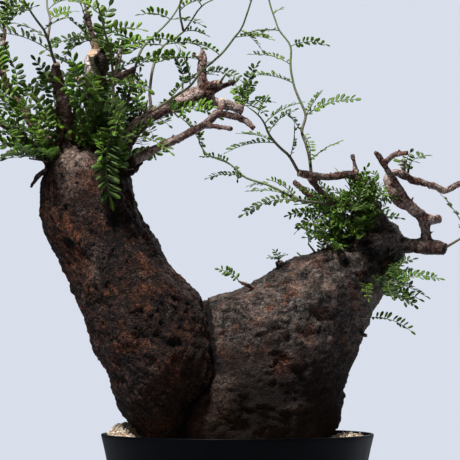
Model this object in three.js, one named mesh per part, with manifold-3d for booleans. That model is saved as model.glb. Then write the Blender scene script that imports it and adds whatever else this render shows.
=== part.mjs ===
// A potted Operculicarya pachypus bonsai: a caudex with two thick limbs, pruned branches and shoots of
// pinnate leaves. Millimetres, +Z up, the front faces -Y, and the origin is the middle of the pot's flat
// base.
import * as THREE from "three";
import { mergeVertices } from "three/addons/utils/BufferGeometryUtils.js";
import Module from "manifold-3d";

const wasm = await Module();
wasm.setup();

// Driving dimensions
const GAP = 0.35; // between pieces that rest on each other
const POT = {
  height: 150,
  rimRadius: 102.5,
  baseRadius: 73,
  wall: 2.5,
  floor: 4,
  flareHeight: 14,
  flareOut: 0.6,
  edge: 1,
  sides: 36,
};
const DRAIN = { count: 4, radius: 6, circle: 45, sides: 8 };
const SOIL = { belowRim: 5, slope: 30, grit: 0.9, rings: 5, sides: 32 };
// The shares of the grit's slope, counted from the pot's wall, between which a heap rises to its full height
const HEAPED = [-0.35, 0.3];
// Heaps of grit against the caudex: the x and y of the middle, the radii along them, and the height
const MOUNDS = [
  [-84, -8, 30, 38, 13.2],
  [84, 2, 24, 34, 5.4],
];
const LIMB = { rings: 18, sides: 16 };
const BARK = { swell: 1.6, knob: 1.1 };
const LEAF = { thickness: 0.7, rib: 0.5, leaflet: 7.2, arch: 0.5, bow: 0.09, root: 0.6, pairs: [13, 35] };
const STEM = { sides: 4, root: 1.8, shortRoot: 1.4, tip: 0.9, shortUpTo: 6 };
const FACE = { middle: 8, level: 0.75, up: 0.55 };
const SHORT = { fan: 1.05, fanStep: 0.22, step: 4, least: 0.85, vary: 0.25, radii: [1.5, 1] };
const TURNS = [0, 0.25, -0.25, 0.5, -0.5, 0.8, -0.8, 1.15, -1.15, 1.6, -1.6, 2.1, -2.1, 2.7];

const COLOUR = { pot: 0x16181e, soil: 0xbda27e, bark: 0x4b3930, leaf: 0x3c6f17 };

// Level slices of the caudex, from the buried end of each limb to its head: x, y and z of the middle, and
// the radii along X and Y
const LEFT_LIMB = [
  [-52, -6, 106, 10, 12],
  [-55, -8, 130, 16, 20],
  [-58, -12, 155, 20, 29],
  [-60, -14, 175, 29, 35],
  [-57, -16, 200, 41.5, 42],
  [-62, -16, 215, 46, 44],
  [-69, -16, 237, 46, 44],
  [-75, -15, 253, 46.5, 43],
  [-88, -13, 272, 43, 41],
  [-98, -12, 288, 40, 39],
  [-106, -11, 304, 38, 38],
  [-111, -9, 324, 37, 37],
  [-113.5, -7, 342, 34.5, 34],
  [-114, -6, 354, 29, 29],
  [-118, -6, 363, 18, 19],
  [-122, -6, 367, 9, 10],
];
const RIGHT_LIMB = [
  [9, 6, 106, 30, 26],
  [9, 8, 130, 52, 40],
  [9.5, 10, 158, 67, 48],
  [12, 10, 185, 70.5, 50],
  [17, 10, 208, 71.5, 49],
  [25, 10, 229, 71, 48],
  [36, 10, 245, 68.5, 46],
  [44, 10, 252, 65, 45],
  [60, 10, 259, 55, 43],
  [68, 9, 267, 50.5, 41],
  [83, 8, 281, 41, 37],
  [94, 7, 289, 31, 32],
  [104, 6, 298, 19, 22],
  [110, 5, 304, 11, 13],
  [113, 5, 308, 6, 7],
];
// The web of wood that fills the foot of the crease between the limbs
const WEB = [
  [-40, 0, 118, 20, 26],
  [-39, 0, 140, 24, 32],
  [-38, 0, 160, 25, 35],
  [-31, 0, 178, 22, 36],
  [-25, 3, 192, 14, 33],
  [-21, 4, 202, 5, 26],
];

// Woody branches, from root to cut end: x, z and the radius at each point, with the depth y running evenly
// from end to end
const BRANCHES = {
  left_upright: {
    depth: [-8, -16],
    line: [
      [-105, 352, 9], [-105, 392, 8.5], [-106, 415, 8], [-106, 428, 7.5], [-106, 437, 3],
      [-109, 450, 2], [-113, 464, 2.6],
    ],
  },
  left_upright_knob: {
    depth: [-14, -15],
    line: [[-106, 417, 7.6], [-106, 425, 8.6], [-105, 432, 7.6], [-105, 437, 4]],
  },
  left_upright_stub: { depth: [-13, -26], line: [[-106, 424, 4], [-108, 434, 3.6]] },
  left_inner_stub: { depth: [-8, -16], line: [[-104, 409, 3.4], [-90, 416, 2.9], [-76, 423, 2.4]] },
  left_inner_snag: { depth: [-12, -16], line: [[-92, 415, 2.3], [-88, 432, 2], [-86, 444, 2.1]] },
  left_outer_stub: { depth: [-12, -28], line: [[-107, 406, 3.4], [-119, 415, 2.8]] },
  left_slant: {
    depth: [-14, -38],
    line: [
      [-126, 350, 8], [-129, 385, 6.5], [-129, 393, 6], [-133, 411, 5], [-135, 419, 4.4], [-134, 426, 2.6],
    ],
  },
  left_back: {
    depth: [2, 32],
    line: [
      [-128, 348, 6], [-156, 386, 4], [-171, 407, 3], [-177, 420, 2.6], [-178, 434, 1.9], [-176, 456, 1.4],
    ],
  },
  left_low: { depth: [-10, -46], line: [[-134, 350, 5], [-162, 372, 3], [-178, 383, 2.4], [-189, 390, 2]] },
  left_dead_twig: { depth: [-14, -26], line: [[-134, 349, 3], [-146, 345, 2.2], [-154, 334, 1.3]] },
  long: {
    depth: [4, 34],
    line: [
      [-100, 350, 9], [-84, 370, 6.5], [-68, 387, 5.2], [-54, 394, 5], [-42, 400, 5.3], [-31, 405, 6.5],
      [-25, 405, 6], [-19, 400, 4.4], [-8, 398, 4], [4, 394, 3.7],
    ],
  },
  long_snag: {
    depth: [21, 16],
    line: [[-27, 404, 5], [-26, 412, 4.8], [-27, 422, 3.7], [-26, 433, 3.4], [-27, 441, 1.2]],
  },
  long_snag_horn: { depth: [17, 12], line: [[-27, 431, 1.6], [-34, 435, 1]] },
  long_stub: { depth: [21, 4], line: [[-24, 408, 3], [-18, 413, 2.6], [-13, 413, 2.5]] },
  long_fork: { depth: [22, 0], line: [[-25, 404, 3.4], [-13, 410, 2.3], [-2, 414, 1.8]] },
  low: {
    depth: [-8, -44],
    line: [
      [-94, 340, 7], [-82, 348, 4.8], [-73, 356, 3.9], [-59, 364, 3.4], [-41, 372, 3.1], [-24, 381, 2.8],
      [-15, 388, 2.8], [-5, 387, 2.7], [6, 383, 2.6], [12, 377, 2.1],
    ],
  },
  low_fork: { depth: [-32, -18], line: [[-15, 387, 2.8], [-12, 394, 2.6], [-12, 399, 2.6]] },
  low_twig: { depth: [-28, -42], line: [[-26, 380, 2.4], [-16, 379, 2], [-4, 377, 1.8]] },
  bent: {
    depth: [4, -26],
    line: [
      [109, 296, 7], [104, 314, 5.4], [97, 325, 4.6], [90, 340, 4.2], [84, 344, 3.3], [76, 343, 2.8],
      [65, 342, 2.8], [55, 343, 3.3], [45, 345, 2.9],
    ],
  },
  bent_stub: { depth: [-7, -9], line: [[90, 340, 2], [86, 359, 1.5]] },
  clump_upper: {
    depth: [0, -22],
    line: [[104, 300, 5], [95, 316, 3.8], [81, 321, 3], [65, 328, 2.6], [54, 341, 2.6]],
  },
  clump_back: {
    depth: [8, 34],
    line: [[92, 288, 5], [84, 309, 3.4], [69, 316, 3], [60, 324, 2.6], [43, 340, 2.1]],
  },
  right_low: {
    depth: [5, -14],
    line: [
      [105, 292, 8.5], [118, 292, 6.6], [129, 291, 5.6], [140, 290.5, 6.2], [149, 289.5, 5.6],
      [155, 288, 4.2],
    ],
  },
  knuckle: {
    depth: [-6, -34],
    line: [
      [141, 291, 4.8], [141, 300, 3.6], [140, 306, 3.6], [137, 313, 4.4], [129, 320, 4.4],
      [122, 331, 2.9], [114, 343, 2.7], [109, 351, 2.5], [105, 357, 2.1], [102, 360, 1.3],
    ],
  },
  knuckle_stub: { depth: [-14, -6], line: [[138, 311, 4], [146, 310, 3.8], [151, 311, 3.6]] },
  knuckle_fork: { depth: [-28, -40], line: [[109, 351, 2.2], [116, 358, 1.8], [126, 359, 1.7]] },
  pale: {
    depth: [-18, 20],
    line: [
      [129, 319, 4], [120, 323, 4], [115, 333, 3.6], [112, 341, 3.1], [118, 345.5, 3], [126, 343, 3.4],
      [131, 340, 3.1], [140, 338, 2.8], [149, 335, 2.7], [157, 332, 2.6], [162, 335, 2.5], [168, 338, 2.2],
      [175, 343, 2], [181, 351, 1.6],
    ],
  },
  pale_stub: { depth: [-2, -6], line: [[124, 344, 2.2], [125, 355, 1.6]] },
  flank_twig: { depth: [6, -2], line: [[84, 226, 3], [97, 223.5, 1.8]] },
  saddle_twig: { depth: [2, -18], line: [[19, 248, 2.6], [12, 259, 2], [3, 263, 1.4]] },
  saddle_stub: { depth: [6, 0], line: [[36, 264, 3], [31, 279, 2.6]] },
};
// A branch as thick as this at its root gets more sides.
const THICK = { radius: 4, sides: 6, thinSides: 4 };

// Long shoots, each one solid of one or two twigs: x and z along it, the depth y from end to end, and its
// leaves, each as the number of the point that it grows from and the way x, y, z to its tip
const LONG_SHOOTS = {
  shoot_left_whip: [
    {
      depth: [-37, -66],
      line: [
        [-134, 423], [-138, 434], [-140, 443], [-143, 450], [-148, 457], [-153, 464], [-158, 472],
        [-162, 481], [-164, 490],
      ],
      leaves: [
        [1, -39, -12, 13], [2, -29, 6, 13], [3, 17, -9, 8], [5, -26, -5, -8], [6, -14, 8, 9],
        [7, 17, -6, 9], [8, -14, -4, 14],
      ],
    },
    {
      depth: [-44, -8],
      line: [[-140, 443], [-139, 458], [-141, 466], [-142, 475], [-144, 484], [-146, 494]],
      leaves: [[1, 17, 9, 7], [2, 19, 9, 9], [3, -16, 5, 12], [4, 18, 3, 12], [5, -7, -5, 19]],
    },
  ],
  shoot_left_top: [
    {
      depth: [-16, -6],
      line: [[-112, 462], [-115, 475], [-118, 486], [-121, 497]],
      leaves: [[1, -24, -9, 4], [1, 22, 8, 8], [2, -20, 9, 12], [2, 19, -9, 10], [3, -12, -3, 19]],
    },
  ],
  shoot_left_middle: [
    {
      depth: [-18, -52],
      line: [
        [-98, 350], [-93, 385], [-93, 420], [-95, 437], [-98, 447], [-101, 460], [-105, 475], [-108, 497],
      ],
      leaves: [
        [1, 28, -14, 8], [2, 30, -11, 7], [3, -27, -12, 7], [4, 27, 5, 4], [5, -20, 14, 12],
        [6, 22, -8, 7], [6, -20, -12, 6], [7, 8, -4, 19],
      ],
    },
  ],
  shoot_left_inner: [
    {
      depth: [2, 46],
      line: [
        [-96, 350], [-86, 385], [-77, 425], [-72, 440], [-66, 447], [-51, 463], [-41, 480], [-38, 489],
      ],
      leaves: [
        [1, 28, 12, 8], [2, 30, -9, 8], [3, -27, -8, 12], [4, 24, -10, -5], [5, -22, -8, 3],
        [5, 24, 10, -4], [6, -19, -6, 8], [6, 20, 4, 6], [7, -7, -4, 19],
      ],
    },
  ],
  shoot_left_fork: [
    {
      depth: [11, 56],
      line: [[-65, 388], [-66, 410], [-63, 429], [-56, 443], [-41, 454], [-27, 474], [-19, 479]],
      leaves: [
        [1, -24, 12, 8], [2, 40, -7, 1], [3, 30, -8, -2], [3, -22, -9, -4], [4, 17, -8, -3],
        [5, -15, 6, 12], [6, 17, -4, 7],
      ],
    },
    {
      depth: [41, 32],
      line: [[-41, 454], [-44, 469], [-43, 480]],
      leaves: [[1, 15, 8, 9], [2, -11, -5, 16]],
    },
  ],
  shoot_long_whip: [
    {
      depth: [-20, -74],
      line: [
        [-97, 352], [-84, 373], [-70, 386], [-51, 398], [-42, 404], [-35, 409], [-27, 419], [-13, 431],
        [-2, 444], [2, 449], [10, 470], [16, 486], [18, 496],
      ],
      leaves: [
        [1, 34, -12, -13], [3, 15, -13, 16], [5, -9, -10, 27], [6, 30, -5, -7], [7, -24, -8, 9],
        [8, 26, -8, -2], [9, 15, 10, -13], [10, -18, 6, 8], [11, 15, 3, 10], [12, -6, -3, 17],
      ],
    },
  ],
  shoot_right_whip: [
    {
      depth: [-22, 24],
      line: [
        [55, 342], [54, 354], [51, 367], [48, 376], [51, 388], [46, 402], [42, 413], [40, 427], [40, 441],
        [32, 453], [27, 466], [22, 484], [19, 493],
      ],
      leaves: [
        [1, 22, -4, 14], [3, 6, -10, -22], [3, -9, -12, 12], [4, 37, -6, 12], [4, 12, 8, 18],
        [6, -33, -8, 5], [7, -29, 6, 8], [8, 26, -5, 1], [9, -29, -6, -4], [10, 7, 8, 4], [11, 14, 4, 7],
        [11, -13, -4, 8], [12, 2, -4, 16],
      ],
    },
  ],
  shoot_middle: [
    {
      depth: [-26, -52],
      line: [[46, 345], [39, 356], [28, 367], [23, 374], [20, 381], [15, 387], [9, 392]],
      leaves: [
        [1, 3, -6, 23], [2, -35, -10, -7], [2, -26, 9, 7], [3, 19, 7, 17], [4, 27, -6, 15], [5, 7, -9, 13],
        [6, -9, -9, 3],
      ],
    },
  ],
  shoot_low_left: [
    {
      depth: [-9, 22],
      line: [
        [80, 321], [66, 322], [49, 325], [44, 326], [25, 336], [7, 342], [-5, 352], [-24, 361], [-29, 369],
      ],
      leaves: [
        [2, -45, -8, -11], [3, -34, 4, 6], [3, -20, -7, 14], [4, -16, 5, 0], [5, -29, 5, 0],
        [6, -21, -5, 6], [6, 5, 5, -11], [8, -2, -5, 14],
      ],
    },
  ],
};

// Short leafy shoots: the point or the share of a branch that each grows from, its direction and length,
// and its leaves
const SHORT_SHOOTS = [
  // on the left head
  { at: [-134, -14, 353], to: [-0.85, -0.45, 0.1], length: 24, leaves: 3, leaf: 33 },
  { at: [-116, -16, 362], to: [-0.05, -0.3, 0.95], length: 22, leaves: 3, leaf: 34 },
  { at: [-106, -14, 352], to: [0.15, -0.5, 0.9], length: 22, leaves: 3, leaf: 34 },
  { at: [-103, -18, 349], to: [0.3, -0.55, 0.78], length: 44, leaves: 2, leaf: 48, own: [[-3, -8, -53]] },
  { at: [-92, -14, 346], to: [0.8, -0.6, 0.1], length: 18, leaves: 3, leaf: 34 },
  { at: [-132, 8, 352], to: [-0.6, 0.75, 0.3], length: 22, leaves: 3, leaf: 34 },
  { at: [-113, 12, 354], to: [-0.1, 0.9, 0.4], length: 22, leaves: 3, leaf: 34 },
  { at: [-96, 8, 350], to: [0.6, 0.75, 0.3], length: 20, leaves: 3, leaf: 34 },
  // on the left branches
  { on: "left_low", share: 0.35, to: [-0.4, -0.8, 0.4], length: 16, leaves: 3, leaf: 33 },
  { on: "left_low", share: 0.68, to: [-0.2, -0.5, -0.8], length: 13, leaves: 2, leaf: 30 },
  { on: "left_low", share: 0.97, to: [-0.7, -0.3, 0.5], length: 14, leaves: 3, leaf: 30 },
  { on: "left_back", share: 0.3, to: [-0.6, 0.6, 0.4], length: 15, leaves: 3, leaf: 33 },
  { on: "left_back", share: 0.58, to: [-0.8, 0.0, 0.4], length: 14, leaves: 3, leaf: 32 },
  { on: "left_back", share: 0.97, to: [-0.2, 0.3, 0.9], length: 12, leaves: 3, leaf: 26 },
  { on: "left_slant", share: 0.3, to: [-0.8, -0.5, 0.1], length: 17, leaves: 3, leaf: 33 },
  { on: "left_slant", share: 0.62, to: [-0.5, -0.8, 0.2], length: 15, leaves: 2, leaf: 32 },
  { on: "left_upright", share: 0.32, to: [-0.3, -0.9, 0.2], length: 20, leaves: 3, leaf: 34 },
  { on: "left_upright", share: 0.36, to: [0.4, 0.9, 0.2], length: 20, leaves: 3, leaf: 34 },
  { on: "left_upright", share: 0.5, to: [0.8, 0.3, 0.4], length: 18, leaves: 3, leaf: 32 },
  { on: "left_upright", share: 0.75, to: [-0.8, 0.5, 0.3], length: 14, leaves: 2, leaf: 32 },
  { on: "long", share: 0.17, to: [0.2, 0.8, 0.6], length: 18, leaves: 3, leaf: 34 },
  { on: "long", share: 0.36, to: [0.4, -0.7, -0.5], length: 16, leaves: 2, leaf: 34 },
  { on: "long", share: 0.45, to: [0.0, 0.5, 0.9], length: 16, leaves: 3, leaf: 32 },
  { on: "long", share: 0.97, to: [0.6, 0.3, 0.7], length: 12, leaves: 3, leaf: 28 },
  { on: "long_stub", share: 0.95, to: [0.5, -0.5, 0.7], length: 10, leaves: 2, leaf: 30 },
  { on: "low", share: 0.3, to: [0.2, -0.8, -0.5], length: 14, leaves: 2, leaf: 32 },
  // on the right head and its clump
  { at: [80, -8, 276], to: [-0.6, -0.4, 0.75], length: 26, leaves: 3, leaf: 33 },
  { at: [92, -10, 284], to: [-0.2, -0.55, 0.85], length: 24, leaves: 3, leaf: 32 },
  { at: [98, 22, 286], to: [-0.2, 0.9, 0.4], length: 22, leaves: 3, leaf: 32 },
  { on: "clump_upper", share: 0.35, to: [-0.3, -0.8, 0.6], length: 14, leaves: 3, leaf: 31 },
  { on: "clump_back", share: 0.4, to: [-0.4, 0.7, 0.5], length: 14, leaves: 3, leaf: 30 },
  { on: "clump_back", share: 0.12, to: [0.6, 0.6, 0.6], length: 18, leaves: 3, leaf: 30 },
  { on: "bent", share: 0.2, to: [0.3, -0.4, 0.9], length: 14, leaves: 2, leaf: 27 },
  { on: "pale", share: 0.4, to: [0.2, 0.1, 0.95], length: 11, leaves: 2, leaf: 21 },
  {
    on: "right_low",
    share: 0.95,
    to: [0.85, -0.1, 0.5],
    length: 30,
    leaves: 3,
    leaf: 30,
    own: [[-20, -5, 30]],
  },
  // on the right flank
  { at: [94, -8, 266], to: [0.75, -0.6, -0.1], length: 34, leaves: 3, leaf: 34 },
  { at: [92, 18, 260], to: [0.7, 0.6, -0.2], length: 34, leaves: 3, leaf: 33 },
  { at: [86, -8, 237], to: [0.95, -0.3, 0], length: 11, leaves: 1, leaf: 34, own: [[34, -4, -10]] },
];

const TURN = Math.PI * 2;
const GOLDEN = TURN * 0.381966;
const UP = new THREE.Vector3(0, 0, 1);
const FRONT = new THREE.Vector3(0, -1, 0);

// The same number from 0 to 1 for the same two whole numbers
function draw(a, b) {
  const wave = Math.sin(a * 127.1 + b * 311.7) * 43758.5453;
  return wave - Math.floor(wave);
}

function solidOf(geometry) {
  const bare = new THREE.BufferGeometry().setAttribute("position", geometry.getAttribute("position"));
  bare.setIndex(geometry.index);
  const merged = mergeVertices(bare, 1e-3);
  const corners = merged.index.array;
  const kept = [];
  for (let i = 0; i < corners.length; i += 3) {
    const [a, b, c] = corners.slice(i, i + 3);
    if (a !== b && b !== c && c !== a) kept.push(a, b, c);
  }
  const vertProperties = merged.attributes.position.array;
  return new wasm.Manifold(new wasm.Mesh({ numProp: 3, vertProperties, triVerts: new Uint32Array(kept) }));
}

function meshOf(name, solid, color, roughness) {
  const { vertProperties, triVerts } = solid.getMesh();
  const geometry = new THREE.BufferGeometry();
  geometry.setAttribute("position", new THREE.BufferAttribute(vertProperties, 3));
  geometry.setIndex(new THREE.BufferAttribute(triVerts, 1));
  geometry.computeVertexNormals();
  const mesh = new THREE.Mesh(geometry, new THREE.MeshStandardMaterial({ color, roughness, metalness: 0 }));
  mesh.name = name;
  return mesh;
}

const joined = (solids) => wasm.Manifold.union(solids);

// The largest body of a solid: what a cut leaves loose is dropped.
function largest(solid) {
  return solid.decompose().reduce((best, body) => (body.volume() > best.volume() ? body : best));
}

// Smooth swellings and smaller knobs of the bark, in millimetres out of the surface
function barkRelief(p) {
  const swell = Math.sin(p.x / 13 + 1.7 * Math.sin(p.z / 23)) * Math.sin(p.z / 11 + p.y / 17);
  const knob = Math.sin(p.x / 4.3 + p.z / 9) * Math.sin(p.z / 5.1 - p.y / 7);
  return BARK.swell * swell + BARK.knob * knob * Math.sin(p.y / 4.7 + p.x / 11);
}

// A closed body of rings: a cylinder whose corners are moved by place, from a corner's ring and its x and
// z
function ringed(sides, rings, place) {
  const geometry = new THREE.CylinderGeometry(1, 1, rings, sides, rings);
  const corner = geometry.getAttribute("position");
  for (let i = 0; i < corner.count; i++) {
    const point = place(Math.round(corner.getY(i) + rings / 2), corner.getX(i), corner.getZ(i));
    corner.setXYZ(i, point.x, point.y, point.z);
  }
  return solidOf(geometry);
}

// A limb of the caudex through its level slices, with its bark's relief
function makeLimb(slices, swell) {
  const middles = new THREE.CatmullRomCurve3(slices.map(([x, y, z]) => new THREE.Vector3(x, y, z)));
  const radii = new THREE.CatmullRomCurve3(slices.map(([, , , a, b]) => new THREE.Vector3(a, b, 0)));
  return ringed(LIMB.sides, LIMB.rings, (ring, x, z) => {
    const middle = middles.getPoint(ring / LIMB.rings);
    const radius = radii.getPoint(ring / LIMB.rings);
    const out = new THREE.Vector3(x * radius.x, -z * radius.y, 0);
    const length = out.length();
    if (length < 1) return middle;
    const raised = length + swell + barkRelief(out.clone().add(middle));
    return middle.addScaledVector(out, raised / length);
  });
}

// A round stem through points, with a radius at each
function makeStem(points, radii, sides, swell) {
  const curve = new THREE.CatmullRomCurve3(points);
  const rings = points.length - 1;
  const frames = [];
  points.forEach((_, i) => {
    const tangent = curve.getTangent(i / rings);
    const from = i ? frames[i - 1].across : new THREE.Vector3(1, 0.01, 0);
    const across = from.clone().addScaledVector(tangent, -from.dot(tangent)).normalize();
    frames.push({ across, depth: across.clone().cross(tangent) });
  });
  return ringed(sides, rings, (ring, x, z) => {
    const { across, depth } = frames[ring];
    const radius = radii[ring] + swell;
    return points[ring].clone().addScaledVector(across, x * radius).addScaledVector(depth, z * radius);
  });
}

// The points of a line of x and z whose depth runs evenly from end to end
function spread({ line, depth: [from, to] }) {
  const last = line.length - 1;
  return line.map(([x, z], i) => new THREE.Vector3(x, from + ((to - from) * i) / last, z));
}

// The wood, with every surface moved out by swell
function makeWood(swell) {
  const branches = Object.values(BRANCHES).map((branch) => {
    const radii = branch.line.map(([, , radius]) => radius);
    return makeStem(spread(branch), radii, radii[0] >= THICK.radius ? THICK.sides : THICK.thinSides, swell);
  });
  return joined([...[LEFT_LIMB, RIGHT_LIMB, WEB].map((limb) => makeLimb(limb, swell)), ...branches]);
}

const potRadius = (z) => POT.baseRadius + ((POT.rimRadius - POT.flareOut - POT.baseRadius) * z) / POT.height;

function lathe(profile, sides) {
  const points = profile.map(([r, z]) => new THREE.Vector2(r, z));
  return new THREE.LatheGeometry(points, sides).rotateX(Math.PI / 2);
}

function makePot() {
  const { height, rimRadius, flareHeight, wall, floor, edge } = POT;
  const under = height - flareHeight;
  const profile = [
    [0, 0],
    [POT.baseRadius - edge, 0],
    [potRadius(edge), edge],
    [potRadius(under), under],
    [rimRadius, height - 2 * edge],
    [rimRadius - edge, height],
    [potRadius(height) - wall + edge, height],
    [potRadius(height) - wall, height - edge],
    [potRadius(floor) - wall, floor],
    [0, floor],
  ];
  const { count, radius, circle, sides } = DRAIN;
  const holes = Array.from({ length: count }, (_, i) => {
    const angle = (TURN * (i + 0.5)) / count;
    const hole = new THREE.CylinderGeometry(radius, radius, 4 * floor, sides).rotateX(Math.PI / 2);
    return solidOf(hole.translate(circle * Math.cos(angle), circle * Math.sin(angle), 0));
  });
  return solidOf(lathe(profile, POT.sides)).subtract(joined(holes));
}

// The grit's height above its level: pebbles all over, and the heaps, which sink towards the pot's wall
function gritRise(x, y) {
  const inwards = (potRadius(POT.height) - POT.wall - Math.hypot(x, y)) / SOIL.slope;
  const pebbles = Math.sin(x * 1.1 + 2 * Math.sin(y * 0.7)) * Math.sin(y * 1.3 + x * 0.2);
  const rises = MOUNDS.map(([middleX, middleY, wide, deep, high]) => {
    const away = Math.hypot((x - middleX) / wide, (y - middleY) / deep);
    return high * (1 - THREE.MathUtils.smoothstep(away, 0, 1));
  });
  const heaped = THREE.MathUtils.smoothstep(inwards, ...HEAPED) * rises.reduce((sum, rise) => sum + rise);
  return heaped + SOIL.grit * pebbles;
}

function makeSoil(woodGuard) {
  const top = POT.height - SOIL.belowRim;
  const bottom = POT.floor + GAP;
  const wide = (z) => potRadius(z) - POT.wall - GAP;
  const inwards = (i) => 1 - (0.6 * i) / SOIL.rings;
  const surface = Array.from({ length: SOIL.rings }, (_, i) => [wide(top) * inwards(i), top]);
  const geometry = lathe([[0, bottom], [wide(bottom), bottom], ...surface, [0, top]], SOIL.sides);
  const corner = geometry.getAttribute("position");
  for (let i = 0; i < corner.count; i++) {
    if (corner.getZ(i) < top - 0.01) continue;
    corner.setZ(i, top + gritRise(corner.getX(i), corner.getY(i)));
  }
  return largest(solidOf(geometry).subtract(woodGuard));
}

// One side of a leaf's outline, from its root to its tip, cut to the rib between its leaflets
function leafSide(length) {
  const pairs = 1 + LEAF.pairs.filter((least) => length >= least).length;
  const pitch = length / (pairs + 1.4);
  const reach = Math.min(LEAF.leaflet, 0.34 * length);
  const side = [[0.2 * pitch, LEAF.rib]];
  for (let i = 0; i < pairs; i++) side.push([pitch * (i + 1.05), reach], [pitch * (i + 1.35), LEAF.rib]);
  return side;
}

// One pinnate leaf, lying along +X from its petiole's root, with its face up: a thin blade that arches
// along its length and bows to one side. A guard makes it thicker on both faces.
function leafBlade(length, guard, bow) {
  const side = leafSide(length);
  const outline = [[-LEAF.root, 0], ...side, [length, 0], ...side.reverse().map(([x, y]) => [x, -y])];
  const depth = LEAF.thickness + 2 * guard;
  const shape = new THREE.Shape(outline.map(([x, y]) => new THREE.Vector2(x, y)));
  const blade = new THREE.ExtrudeGeometry(shape, { depth, steps: 1, bevelEnabled: false });
  const corner = blade.translate(0, 0, -depth / 2).getAttribute("position");
  for (let i = 0; i < corner.count; i++) {
    const share = corner.getX(i) / length;
    const bend = LEAF.arch * (share - 0.5);
    const away = length / LEAF.arch + corner.getZ(i);
    const x = length / 2 + away * Math.sin(bend);
    const z = away * Math.cos(bend) - (length / LEAF.arch) * Math.cos(LEAF.arch / 2);
    corner.setXYZ(i, x, corner.getY(i) + 4 * bow * length * share * (1 - share), z);
  }
  return blade;
}

// A leaf from its root to its tip, turned about its twig's axis by an angle. Its face looks up and to the
// nearer of front and back, and it bows upwards.
function placedLeaf({ at, axis, reach, face: wish }, turn, guard) {
  const forward = reach.clone().applyAxisAngle(axis, turn).normalize();
  const sideways = wish.clone().applyAxisAngle(axis, turn).cross(forward).normalize();
  const face = forward.clone().cross(sideways);
  const place = new THREE.Matrix4().makeBasis(forward, sideways, face).setPosition(at);
  const blade = leafBlade(reach.length(), guard, LEAF.bow * Math.sign(sideways.z || 1));
  return solidOf(blade.applyMatrix4(place));
}

// The way that a leaf's face looks, by where its root is and which leaf it is
function faceWish(at, shoot, leaf) {
  const tilt = (k) => draw(shoot, leaf + k) - 0.5;
  const nearer = Math.sign(at.y - FACE.middle) || 1;
  return new THREE.Vector3(0.7 * tilt(60), FACE.level * nearer + 0.5 * tilt(80), FACE.up + 0.5 * tilt(100));
}

// A short shoot by its rule: a straight twig, with its leaves turned round it by the golden angle
function shortTwig({ at, on, share, to, length, leaves, leaf, own = [] }, number) {
  const branch = on && new THREE.CatmullRomCurve3(spread(BRANCHES[on]));
  const root = branch ? branch.getPoint(share) : new THREE.Vector3(...at);
  const axis = new THREE.Vector3(...to).normalize();
  const side = axis.clone().cross(Math.abs(axis.z) > 0.8 ? FRONT : UP).normalize();
  const along = (distance) => root.clone().addScaledVector(axis, distance);
  const reaches = Array.from({ length: leaves }, (_, i) => {
    const open = SHORT.fan - SHORT.fanStep * i * draw(number, i + 20);
    const out = side.clone().applyAxisAngle(axis, GOLDEN * i + TURN * draw(number, 0));
    const reach = axis.clone().multiplyScalar(Math.cos(open)).addScaledVector(out, Math.sin(open));
    const size = leaf * (SHORT.least + SHORT.vary * draw(number, i + 40));
    return own[i] ? new THREE.Vector3(...own[i]) : reach.multiplyScalar(size);
  });
  const place = (i) => along(length - SHORT.step * (leaves - 1 - i) - SHORT.radii[1]);
  return {
    points: [along(0), along(length)],
    radii: SHORT.radii,
    leaves: reaches.map((reach, i) => ({ at: place(i), axis, reach })),
  };
}

// A twig of a long shoot, with each leaf at one of its points
function longTwig({ line, depth, leaves }) {
  const points = spread({ line, depth });
  const last = points.length - 1;
  const root = points.length > STEM.shortUpTo ? STEM.root : STEM.shortRoot;
  return {
    points,
    radii: points.map((_, i) => THREE.MathUtils.lerp(root, STEM.tip, i / last)),
    leaves: leaves.map(([point, ...reach]) => ({
      at: points[point],
      axis: points[point].clone().sub(points[point - 1]).normalize(),
      reach: new THREE.Vector3(...reach),
    })),
  };
}

// Every shoot as a name and its twigs, with the way that each leaf's face looks
function shootPlans() {
  const long = Object.entries(LONG_SHOOTS).map(([name, twigs]) => ({ name, twigs: twigs.map(longTwig) }));
  const short = SHORT_SHOOTS.map((shoot, i) => ({
    name: `shoot_short_${String(i + 1).padStart(2, "0")}`,
    twigs: [shortTwig(shoot, i)],
  }));
  const plans = [...long, ...short];
  plans.forEach(({ twigs }, number) =>
    twigs.forEach(({ leaves }) =>
      leaves.forEach((leaf, i) => {
        leaf.face = faceWish(leaf.at, number, i);
      }),
    ),
  );
  return plans;
}

function apart(a, b) {
  const one = a.boundingBox();
  const two = b.boundingBox();
  const beside = [0, 1, 2].some((k) => one.min[k] > two.max[k] || two.min[k] > one.max[k]);
  return beside || a.intersect(b).isEmpty();
}

// A leaf, turned about its twig in growing steps until it is clear of every obstacle; none if no step does
// that
function clearLeaf(leaf, obstacles) {
  const turn = TURNS.find((angle) => {
    const guarded = placedLeaf(leaf, angle, GAP);
    return obstacles.every((obstacle) => apart(guarded, obstacle));
  });
  return turn === undefined ? [] : [placedLeaf(leaf, turn, 0)];
}

// Every shoot as one solid, clear of the wood and of every other shoot
function makeShoots(woodGuard) {
  const plans = shootPlans();
  const stem = ({ points, radii }, swell) => makeStem(points, radii, STEM.sides, swell).subtract(woodGuard);
  plans.forEach((plan) => {
    plan.guards = plan.twigs.map((twig) => stem(twig, GAP));
    plan.blades = [];
  });
  plans.forEach((plan) => {
    const others = plans.filter((other) => other !== plan);
    plan.twigs.forEach((twig) =>
      twig.leaves.forEach((leaf) => {
        const solids = others.flatMap(({ guards, blades }) => [...guards, ...blades]);
        plan.blades.push(...clearLeaf(leaf, [woodGuard, ...solids]));
      }),
    );
  });
  return plans.map(({ name, twigs, blades }) => {
    const stems = twigs.map((twig) => stem(twig, 0));
    return { name, solid: largest(joined([...stems, ...blades])) };
  });
}

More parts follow.
